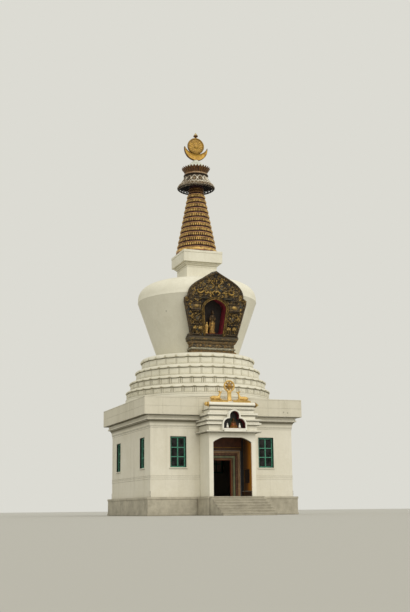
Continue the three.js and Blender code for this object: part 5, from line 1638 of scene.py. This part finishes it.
def build_niche_figures():
    y, z = -6.285, NICHE_FLOOR
    seat, cushion, seated = Body(), Body(), Body()
    block(seat, (-0.5, y - 0.13, z), (0.5, y + 0.11, z + 0.045), 0.01)
    lotus = [(0, 0.04), (0.23, 0.04), (0.25, 0.055), (0.235, 0.075), (0.2, 0.09), (0.235, 0.105),
             (0.24, 0.125), (0, 0.13)]
    turned(cushion, lotus, 64, 1, scalloped(0.04, 8))
    seat.join(cushion, Matrix.Translation((0, y, z)) @ Matrix.Diagonal((1.0, 0.55, 1.0, 1.0)))
    # Pointed screen behind the seated figure
    screen = [(0.215 * math.cos(a) * (1 - 0.25 * max(0, math.sin(a))),
               z + 0.3 + 0.34 * math.sin(a)) for a in np.linspace(-0.9, math.pi + 0.9, 40)]
    prism(seat, screen, [(0.0, y + 0.13), (0.0, y + 0.1), (0.02, y + 0.085), (0.045, y + 0.095)], mark=2)
    piece("niche_lotus_seat", seat, ["niche_red", "old_gold", "niche_green"])

    def limb(body, points, radii, sides=10, **shape):
        tube(body, [(px, y + dy, z + dz) for px, dy, dz in points], radii, sides, **shape)

    # Legs, shoulders, neck, head, hair, topknot, nose, mouth and ears: place and half size
    for cx, cy, cz, half in ((0, -0.01, 0.185, (0.205, 0.1, 0.062)), (0, 0.0, 0.405, (0.105, 0.07, 0.04)),
                             (0, 0.0, 0.45, (0.034, 0.034, 0.05)), (0, 0.0, 0.505, (0.058, 0.062, 0.072)),
                             (0, 0.005, 0.545, (0.06, 0.062, 0.046)),
                             (0, 0.005, 0.595, (0.026, 0.026, 0.032)),
                             (0, -0.06, 0.498, (0.009, 0.012, 0.018)),
                             (0, -0.055, 0.476, (0.018, 0.008, 0.006)),
                             (-0.062, 0.0, 0.49, (0.014, 0.02, 0.034)),
                             (0.062, 0.0, 0.49, (0.014, 0.02, 0.034))):
        ball(seated, (cx, y + cy, z + cz), half, 10, 16)
    for side in (-1, 1):
        limb(seated, [(side * 0.05, -0.03, 0.19), (side * 0.17, -0.05, 0.175), (side * 0.03, -0.1, 0.165)],
             [0.06, 0.05, 0.036])
        limb(seated, [(side * 0.095, 0, 0.395), (side * 0.13, -0.01, 0.3), (side * 0.035, -0.09, 0.225)],
             [0.036, 0.032, 0.026])
    limb(seated, [(0, 0, 0.19), (0, 0, 0.3), (0, 0, 0.4)], [0.095, 0.09, 0.105], 14, squeeze=0.8,
         face=(0, 1, 0))
    voxel = 0.0085
    piece("niche_seated_figure", sculpted(seated, voxel, 2), ["seated_figure_paint"],
          ["niche_figures"], 70)
    for x, name in ((-0.375, "left"), (0.375, "right")):
        small = Body()
        limb(small, [(x, 0, 0.045), (x, 0, 0.1), (x, 0, 0.17), (x, 0, 0.205)],
             [0.082, 0.07, 0.056, 0.03], 14)
        limb(small, [(x - 0.05, 0, 0.18), (x - 0.035, -0.045, 0.12), (x + 0.035, -0.045, 0.12),
                     (x + 0.05, 0, 0.18)], 0.02, 8)
        ball(small, (x, y, z + 0.245), (0.042, 0.044, 0.052), 10, 14)
        ball(small, (x, y, z + 0.3), (0.02, 0.02, 0.026), 8, 10)
        piece(f"niche_small_figure_{name}", sculpted(small, voxel, 2), ["rim_white"],
              (), 70)


# Roll bar, wheel and deer on top of the porch
def build_roll_bar():
    body, bar = Body(), Body()
    # The bar itself, its end cap on the left, and a ring with a cone on the right
    parts = ([(0, -1.44), (0.1, -1.44), (0.127, -1.425), (0.127, -1.26), (0.12, -1.255), (0.12, -1.245),
              (0.127, -1.24), (0.127, 1.24), (0.12, 1.245), (0.12, 1.255), (0.127, 1.26), (0.127, 1.425),
              (0.1, 1.44), (0, 1.44)],
             [(0, -1.689), (0.03, -1.685), (0.068, -1.668), (0.102, -1.635), (0.12, -1.597),
              (0.12, -1.562), (0.102, -1.532), (0.084, -1.518), (0.084, -1.508), (0.14, -1.496),
              (0.15, -1.48), (0.15, -1.455), (0.14, -1.44), (0.12, -1.432), (0, -1.428)],
             [(0, 1.428), (0.13, 1.432), (0.148, 1.442), (0.152, 1.46), (0.148, 1.484), (0.136, 1.5),
              (0.12, 1.508), (0, 1.51)],
             [(0, 1.508), (0.112, 1.51), (0.116, 1.522), (0.098, 1.556), (0.072, 1.6), (0.046, 1.642),
              (0.022, 1.674), (0, 1.689)])
    for mark, profile in enumerate(parts):
        turned(bar, profile, 48, mark)
    body.join(bar, Matrix.Translation((0, -6.06, ENTABLATURE_TOP + 0.1273)) @ TO_SIDE)
    looks = ["porch_white", "gilding", "deep_gilding", "finial_pale"]
    piece("pediment_roll_bar", body, looks, ["pediment_bar"], 40)


def build_wheel():
    body, rim = Body(), Body()
    centre = Vector((0, ORNAMENT_Y, 7.42))
    edge = [(0.255, -0.03), (0.262, -0.042), (0.284, -0.045), (0.294, -0.034), (0.316, -0.034),
            (0.326, -0.045), (0.341, -0.04), (0.345, -0.025)]
    turned(rim, edge + [(r, -z) for r, z in reversed(edge)], 96, 0, None, True)
    hub = [(0, -0.06), (0.026, -0.058), (0.038, -0.048), (0.07, -0.046), (0.096, -0.038), (0.1, -0.026)]

    def petals(angles, radius, height, row):
        return radius * (1 + 0.05 * np.abs(np.cos(4 * angles)) * (radius > 0.05)), height

    turned(rim, hub + [(r, -z) for r, z in reversed(hub)], 64, 1, petals)
    body.join(rim, Matrix.Translation(centre) @ TO_FRONT)
    spoke = {0.08: 0.04, 0.115: 0.034, 0.135: 0.046, 0.155: 0.036, 0.2: 0.036, 0.23: 0.046, 0.25: 0.05,
             0.275: 0.036}
    for k in range(8):
        turn = TAU * k / 8
        way = Vector((math.cos(turn), 0, math.sin(turn)))
        tube(body, [centre + way * away for away in spoke], list(spoke.values()), 10, mark=1)
        ball(body, centre + way * 0.311 + Vector((0, -0.036, 0)), (0.016, 0.01, 0.016), 6, 8)
    inner_ring = [centre + 0.178 * Vector((math.cos(a), 0, math.sin(a))) for a in np.arange(40) * TAU / 40]
    tube(body, inner_ring, 0.02, 8, closed=True, mark=1)
    foot, top = 6.5, centre.z - 0.262
    stem = [(0.15, 0.11, foot), (0.15, 0.11, foot + 0.05), (0.128, 0.095, foot + 0.07),
            (0.112, 0.08, foot + 0.1), (0.104, 0.07, foot + 0.3), (0.104, 0.07, top - 0.16),
            (0.118, 0.078, top - 0.13), (0.12, 0.08, top - 0.1), (0.1, 0.064, top - 0.06),
            (0.085, 0.044, top - 0.02)]
    body.capped([octagon(half_x, half_y, 0.012, z, centre) for half_x, half_y, z in stem])
    piece("dharma_wheel_on_stem", body, ["gilding", "deep_gilding"], ["dharma_wheel"], 40)


def build_deer(name, side, node):
    y, top = ORNAMENT_Y, 6.58
    slab, body = Body(), Body()
    x0, x1 = sorted((side * 0.16, side * 1.24))
    block(slab, (x0, -5.925, 6.445), (x1, -5.902, 6.535))
    block(slab, (x0, -5.925, 6.5), (x1, y + 0.13, 6.545), 0.01)
    block(slab, (x0 + 0.02, y - 0.14, 6.54), (x1 - 0.02, y + 0.11, top + 0.01), 0.01)
    piece(f"{name}_slab", slab, ["gilding"])
    for x, z, half, turn in ((0.86, 0.125, (0.29, 0.105, 0.122), 0.02),
                             (0.98, 0.135, (0.19, 0.105, 0.118), 0.0),
                             (1.05, 0.115, (0.135, 0.11, 0.112), 0.0),
                             (0.67, 0.15, (0.12, 0.09, 0.118), 0.0)):
        ball(body, (side * x, y, top + z), half, 12, 18, 0, Matrix.Rotation(-side * turn, 3, "Y"))

    def limb(points, radii):
        tube(body, [(side * x, y + dy, top + z) for x, dy, z in points], radii, 12)

    # Neck, head and tail, then ears, horn stubs, fore and hind legs
    limb([(0.66, 0, 0.16), (0.615, 0, 0.27), (0.59, 0, 0.36), (0.572, 0, 0.43)],
         [0.095, 0.066, 0.054, 0.05])
    limb([(0.585, 0, 0.425), (0.535, 0, 0.455), (0.475, 0, 0.49), (0.445, 0, 0.505)],
         [0.056, 0.056, 0.036, 0.026])
    limb([(1.155, 0, 0.185), (1.195, 0, 0.15), (1.19, 0, 0.105)], [0.026, 0.024, 0.012])
    for out in (-1, 1):
        limb([(0.6, out * 0.04, 0.455), (0.64, out * 0.085, 0.52), (0.655, out * 0.105, 0.565)],
             [0.024, 0.03, 0.008])
        limb([(0.585, out * 0.025, 0.47), (0.6, out * 0.035, 0.545)], [0.02, 0.014])
        limb([(0.66, out * 0.075, 0.1), (0.56, out * 0.085, 0.055), (0.5, out * 0.085, 0.03),
              (0.62, out * 0.09, 0.024)], [0.05, 0.038, 0.028, 0.024])
        limb([(1.06, out * 0.085, 0.11), (0.93, out * 0.11, 0.055), (0.84, out * 0.11, 0.03),
              (0.97, out * 0.115, 0.024)], [0.066, 0.05, 0.032, 0.026])
    piece(name, sculpted(body, 0.0135, 3), ["gilding"], [node], 70)


# Porch inside: painted walls, ceiling and the bands round the doorway
def build_porch_lining():
    body = Body()
    front, bend, line, back = -6.0, -5.832, -4.86, -4.452
    low_head, head, dado = 4.1, 4.5, FLOOR_Z + 0.32
    for side in (-1, 1):
        x0, x1 = sorted((side * (PORCH_INSIDE - 0.012), side * (PORCH_INSIDE + 0.02)))
        block(body, (x0, front, dado), (x1, bend, low_head), 0.003)
        block(body, (x0, bend, dado), (x1, line, head), 0.003)
        block(body, (x0, line, dado), (x1, back, head), 0.003, 1)
        block(body, (x0 - 0.004, front, FLOOR_Z), (x1 + 0.004, back, FLOOR_Z + 0.3), 0.004, 2)
        block(body, (x0 - 0.008, line - 0.015, FLOOR_Z), (x1 + 0.008, line + 0.015, head), 0.004, 3)
        x0, x1 = sorted((side * (PORCH_INSIDE - 0.03), side * (PORCH_INSIDE + 0.01)))
        block(body, (x0, -5.72, 1.82), (x1, -5.05, 2.6), 0.006, 4)
        block(body, (x0 - 0.012 * (side > 0), -5.75, 2.6), (x1 + 0.012 * (side < 0), -5.02, 2.63), 0.004, 3)
        x0, x1 = sorted((side * 1.1, side * PORCH_INSIDE))
        block(body, (x0, -4.48, FLOOR_Z), (x1, -4.445, 3.735), 0.004, 1)
    # Wall over the doorway in three painted courses, the ceiling and its beams: front, back, foot, top
    for y0, y1, z0, z1, bevel, mark in [(-4.475, -4.445, 3.735, 3.9, 0.004, 5),
                                        (-4.5, -4.445, 3.9, 3.935, 0.006, 3),
                                        (-4.47, -4.445, 3.935, 4.6, 0.004, 6),
                                        (-5.83, -4.445, 4.5, 4.66, 0.01, 6)]:
        block(body, (-PORCH_INSIDE, y0, z0), (PORCH_INSIDE, y1, z1), bevel, mark)
    for k in range(5):
        y = -5.7 + 0.28 * k
        block(body, (-PORCH_INSIDE, y, 4.42), (PORCH_INSIDE, y + 0.09, 4.51), 0.008, 5)
    looks = ["lining_ochre", "lining_blue", "lining_brown", "deep_gilding", "lining_dark_panel",
             "lining_maroon", "lining_red_brown"]
    piece("porch_painted_lining", body, looks)


def portal_outline(outer, inner, head, low):
    """Outline of a door frame, from the outer to the inner half width and height."""
    return [(-outer, FLOOR_Z), (-inner, FLOOR_Z), (-inner, low), (inner, low), (inner, FLOOR_Z),
            (outer, FLOOR_Z), (outer, head), (-outer, head)]


def build_door_bands():
    body = Body()
    width, rim, step = 0.135, 0.028, 0.105
    for i, mark in enumerate((1, 3, 2, 0)):
        outer, head = 1.1 - i * width, 3.72 - i * width
        inner, low = outer - width, head - width
        face = -(4.4 - 0.05 * i)
        extruded(body, portal_outline(outer, inner, head, low), face, -WALL_INSIDE - 0.001, 0.012, mark)
        if mark in (0, 2):
            slim = portal_outline(outer - rim, inner + rim, head - rim, low + rim)
            extruded(body, slim, face - 0.01, face + 0.01, 0.006, mark + 4)
        if mark == 3:
            x, z = outer - width / 2, head - width / 2
            count = int((z - FLOOR_Z) / step)
            dots = [(side * x, FLOOR_Z + 0.06 + step * k) for side in (-1, 1) for k in range(count)]
            dots += [(-x + 2 * x * k / 20, z) for k in range(21)]
            for dot_x, dot_z in dots:
                ball(body, (dot_x, face - 0.004, dot_z), (0.024, 0.014, 0.024), 5, 8, 7)
    looks = ["band_red", "band_tan", "band_green", "band_maroon",
             "band_orange", "band_red", "band_olive", "band_tan"]
    piece("doorway_painted_bands", body, looks, ["door_frame"])


# Hall: plinth, steps, cornice, parapet, wall bands and windows
QUARTERS = {name: Matrix.Rotation(number * math.pi / 2, 4, "Z")
            for number, name in enumerate(("front", "right", "back", "left"))}


def rectangle(x0, x1, z0, z1):
    return [(x0, z0), (x1, z0), (x1, z1), (x0, z1)]


def build_platform():
    body, steps = Body(), Body()
    half, wide, front = PLINTH_HALF, PORCH_FLOOR_HALF, PORCH_FLOOR_FRONT
    # Foot, body and edge of the platform, under the hall and under the porch
    for inset, z0, z1, bevel in ((0.03, 0, 0.93, 0.012), (0, 0, 0.14, 0.015), (0, 0.92, 1.047, 0.014)):
        block(body, (-half + inset, -half + inset, z0), (half - inset, half - inset, z1), bevel)
        block(body, (-wide + inset, -front + inset, z0), (wide - inset, -half + 0.05, z1), bevel)
    # Paving slabs with narrow joints round the hall and in the porch
    joint, slab_foot = 0.008, 1.03
    count = round(2 * half / 0.6)
    step = 2 * half / count
    slabs = [(-half + i * step, -half + j * step, step, step) for i in range(count) for j in range(count)]
    slabs = [slab for slab in slabs if max(abs(slab[0] + step / 2),
                                           abs(slab[1] + step / 2)) > WALL_INSIDE - 0.4]
    across, depth = 2 * wide / 6, (front - half) / 3
    slabs += [(-wide + i * across, -front + j * depth, across, depth) for i in range(6) for j in range(3)]
    for x, y, width, depth in slabs:
        block(body, (x + joint, y + joint, slab_foot),
              (x + width - joint, y + depth - joint, FLOOR_Z), 0.004)
    inside = WALL_INSIDE - 0.5
    block(body, (-inside, -inside, 1.0), (inside, inside, FLOOR_Z), 0.004)
    piece("plinth_paving", body, ["paving"], ["plinth"])
    for k in range(7):
        edge = -front - (7 - k) * 0.3
        z = (k + 1) * FLOOR_Z / 7
        block(steps, (-1.585, edge + 0.02, 0), (1.585, edge + 0.32 if k < 6 else -front, z - 0.03))
        block(steps, (-1.6, edge, z - 0.045), (1.6, edge + 0.34 if k < 6 else -front, z), 0.01)
    piece("entrance_stair", steps, ["paving"], ["entrance_steps"])


def build_cornice():
    body = Body()
    profile = [(-0.34, 5.102), (0.022, 5.102), (0.03, 5.112), (0.03, 5.15), (0.04, 5.162), (0.044, 5.235),
               (0.058, 5.31), (0.084, 5.375), (0.118, 5.425), (0.15, 5.458), (0.15, 5.484), (0.24, 5.484),
               (0.25, 5.494), (0.25, 5.555), (0.24, 5.565), (0.215, 5.57), (0.205, 5.585), (0.205, 5.735),
               (0.19, 5.742), (0.19, 5.752), (0.488, 5.752), (0.5, 5.76), (0.5, 5.779), (-0.34, 5.779)]
    moulding(body, rectangle(-WALL_HALF, WALL_HALF, -WALL_HALF, WALL_HALF), profile, closed=True)
    piece("hall_cornice", body, ["wall_render"], ["cornice"])


def build_parapet():
    """Four walls of precast panels in two rows under a coping."""
    face, thick, columns, joint = -PARAPET_HALF, 0.2, 9, 0.004
    for name, turn in QUARTERS.items():
        body, placed = Body(), Body()
        reach = PARAPET_HALF - (thick if name in ("left", "right") else 0.0)
        block(body, (-reach, face + 0.012, CORNICE_TOP),
              (reach, face + thick - 0.012, PARAPET_TOP - 0.012), 0.004)
        wide = PARAPET_HALF - 0.004
        for low, high in ((CORNICE_TOP + 0.004, 6.26), (6.264, PARAPET_TOP - 0.062)):
            for k in range(columns):
                u0 = -wide + 2 * wide * k / columns
                u1 = -wide + 2 * wide * (k + 1) / columns
                across, up = (u0 + joint, u1 - joint), (low, high - joint)
                pillow(body, on_wall(face + 0.012), across, up, (-0.004, 0.011), 0.004)
        block(body, (-reach, face, PARAPET_TOP - 0.058), (reach, face + thick, PARAPET_TOP))
        placed.join(body, turn)
        piece(f"parapet_panels_{name}", placed, ["parapet_render"], [f"parapet_{name}"])


def build_bands():
    """Plaster bands, and raised surrounds of the windows with sill and head strip, on all four walls."""
    body = Body()
    face = -WALL_HALF
    for name, turn in QUARTERS.items():
        wall = Body()
        spans = [(face, -PORCH_HALF), (PORCH_HALF, WALL_HALF)] if name == "front" else [(face, WALL_HALF)]
        for u0, u1 in spans:
            for low, high, out in ((FLOOR_Z, 1.4, 0.022), (2.075, 2.155, 0.014), (2.185, 2.235, 0.01),
                                   (2.265, 2.31, 0.014), (5.02, 5.105, 0.014)):
                across = (u0 - out * (u0 == face), u1 + out * (u1 == WALL_HALF))
                pillow(wall, on_wall(face), across, (low, high), (-0.01, out), 0.005)
        for x in (-WINDOW_X, WINDOW_X):
            x0, x1, z0, z1 = x - WINDOW_HALF, x + WINDOW_HALF, WINDOW_SILL, WINDOW_HEAD
            rings = [(0.0, 0.3), (0.0, -0.01), (-0.006, -0.016), (-0.026, -0.016), (-0.052, -0.016),
                     (-0.06, -0.008), (-0.06, 0.02), (-0.012, 0.02), (-0.012, 0.3)]
            rings = [(inset, face + back) for inset, back in rings]
            # The first three bands of faces are dark green at the edge of the opening: painted shade of the
            # reveal
            wall.sheet(drawn_in(rectangle(x0, x1, z0, z1), rings), [1] * 12 + [0] * 24)
            block(wall, (x0 - 0.085, face - 0.055, z0 - 0.075), (x1 + 0.085, face + 0.02, z0 - 0.004), 0.01)
            block(wall, (x0 - 0.02, face - 0.035, z1 + 0.012), (x1 + 0.02, face + 0.02, z1 + 0.06))
        body.join(wall, turn)
    piece("wall_plaster_bands", body, ["wall_render", "window_reveal_shade"], (), 30)


def window_parts(x):
    """Outer frame, two casements of three panes each, fittings and glass of one window in the front wall."""
    wood, glass = Body(), Body()
    w, z0, z1 = WINDOW_HALF, WINDOW_SILL, WINDOW_HEAD
    face = WINDOW_SETBACK - WALL_HALF
    rings = [(0.0, face + 0.09), (0.0, face + 0.006), (0.006, face), (0.034, face), (0.04, face + 0.01),
             (0.04, face + 0.022), (0.044, face + 0.026), (0.044, face + 0.09)]
    wood.sheet(drawn_in(rectangle(x - w, x + w, z0, z1), rings))
    inner_left, inner_right = x - w + 0.042, x + w - 0.042
    low, high = z0 + 0.042, z1 - 0.042
    stile, bar = 0.036, 0.048
    for side in (-1, 1):
        u0, u1 = (inner_left, x - 0.002) if side < 0 else (x + 0.002, inner_right)
        rings = [(0.0, face + 0.07), (0.0, face + 0.02), (0.005, face + 0.015),
                 (stile - 0.01, face + 0.015), (stile - 0.004, face + 0.024), (stile, face + 0.034),
                 (stile, face + 0.07)]
        wood.sheet(drawn_in(rectangle(u0, u1, low, high), rings))
        pane_height = (high - low - 2 * stile) / 3
        left, right = u0 + stile, u1 - stile
        for k in range(3):
            foot = low + stile + k * pane_height
            top = foot + pane_height
            if k:
                block(wood, (left - 0.006, face + 0.02, foot - bar / 2),
                      (right + 0.006, face + 0.062, foot + bar / 2))
            # The pane and, behind it, its film of dust, which shines faintly with painted light
            for lap, front, back, bevel, mark in ((0.004, 0.04, 0.044, 0.0005, 0),
                                                  (0.002, 0.0444, 0.0452, 0.0003, 1)):
                block(glass, (left - lap - 0.004, face + front, foot - lap),
                      (right + lap + 0.004, face + back, top + lap), bevel, mark)
        hinge = u0 + 0.004 if side < 0 else u1 - 0.004
        for level in (low + 0.22, high - 0.22):
            tube(wood, [(hinge, face + 0.012, level + up) for up in (-0.045, 0.045)], 0.008, mark=1)
    block(wood, (x - 0.014, face + 0.004, low + 0.01), (x + 0.014, face + 0.018, high - 0.01), 0.005)
    middle = (low + high) / 2
    handle = [(x + 0.034, face + 0.014, middle - 0.05), (x + 0.04, face - 0.006, middle - 0.03),
              (x + 0.04, face - 0.006, middle + 0.03), (x + 0.034, face + 0.014, middle + 0.05)]
    tube(wood, handle, 0.007, mark=1)
    return wood, glass


def build_windows():
    for name, turn in QUARTERS.items():
        for k, x in ((1, -WINDOW_X), (2, WINDOW_X)):
            placed, panes = Body(), Body()
            for body, part in zip((placed, panes), window_parts(x)):
                body.join(part, turn)
            node = f"window_{name}_{k}"
            piece(f"{node}_casement", placed, ["teal_paint", "dark_bronze_and_shade"], [node])
            stands = [f"glass_front_{k}"] if name == "front" else ([f"glass_{name}"] if k == 1 else [])
            piece(f"{node}_panes", panes, ["window_glass", "pane_dust_painted_glow"], stands)


# Floor, light and camera
def build_studio():
    reach = 400.0
    mesh = bpy.data.meshes.new("studio_floor")
    mesh.from_pydata([(x, y, 0) for x, y in rectangle(-reach, reach, -reach, reach)], [], [(0, 1, 2, 3)])
    floor = bpy.data.objects.new("studio_floor", mesh)
    bpy.context.scene.collection.objects.link(floor)
    look = Look("studio_floor")
    look.finish(linear((188, 186, 178)), 0.95)
    mesh.materials.append(look.material)

    world = bpy.data.worlds.new("studio_sky")
    bpy.context.scene.world = world
    world.use_nodes = True
    sky = world.node_tree.nodes["Background"]
    sky.inputs["Color"].default_value = linear((222, 221, 213))
    sky.inputs["Strength"].default_value = 0.98

    sun = bpy.data.lights.new("soft_sun", "SUN")
    sun.energy = 1.2
    sun.angle = math.radians(50)
    sun.color = (1.0, 0.97, 0.91)
    lamp = bpy.data.objects.new("soft_sun", sun)
    lamp.rotation_euler = Vector((0.2, -0.97, 0.75)).to_track_quat("Z", "Y").to_euler()
    bpy.context.scene.collection.objects.link(lamp)


def place_camera():
    ahead = Vector((math.sin(YAW) * math.cos(PITCH), math.cos(YAW) * math.cos(PITCH), math.sin(PITCH)))
    level = Vector((math.cos(YAW), -math.sin(YAW), 0))
    upright = level.cross(ahead)
    right = level * math.cos(ROLL) + upright * math.sin(ROLL)
    up = upright * math.cos(ROLL) - level * math.sin(ROLL)
    data = bpy.data.cameras.new("photo_view")
    data.sensor_width = SENSOR
    data.lens = FOCAL_PIXELS * SENSOR / FRAME_HEIGHT
    data.clip_end = 2000
    camera = bpy.data.objects.new("photo_view", data)
    turn = Matrix((right, up, -ahead)).transposed().to_4x4()
    camera.matrix_world = Matrix.Translation(EYE) @ turn
    bpy.context.scene.collection.objects.link(camera)
    bpy.context.scene.camera = camera


# CAD nodes that stay as they are, with their final materials
PLAIN_NODES = {
    "wall_render": ["front_wall_left", "front_wall_right", "front_wall_over_door", "left_wall",
                    "right_wall", "roof_slab"],
    "back_wall_render": ["back_wall"],
    "porch_white": ["porch_wall_left", "porch_wall_right", "porch_arch_head"]}
for look_name, nodes in PLAIN_NODES.items():
    for node in nodes:
        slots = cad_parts[node].data.materials
        slots.clear()
        slots.append(LOOKS[look_name])

build_jewel()
build_sun()
build_moon()
build_cone()
build_crown()
build_canopy()
build_rim()
build_spire()
build_harmika()
build_dome()
build_drum()
for number, tier in enumerate(TIERS, 1):
    build_tier(number, *tier)
build_shrine()
build_recess()
build_pedestal()
standing_figure("shrine_standing_figure", 0, 0.418, 1.45, 1.0, "statue_bronze",
                "shrine_statue", 0.012)
standing_figure("shrine_small_figure", -0.37, 0.358, 0.72, 0.9, "gilding",
                "shrine_attendant", 0.008)
build_entablature()
build_niche()
build_niche_figures()
build_roll_bar()
build_wheel()
build_deer("deer_left_lying", -1, "deer_left")
build_deer("deer_right_lying", 1, "deer_right")
build_porch_lining()
build_door_bands()
build_platform()
build_cornice()
build_parapet()
build_bands()
build_windows()

build_studio()
place_camera()
bpy.context.scene.view_settings.view_transform = "Standard"
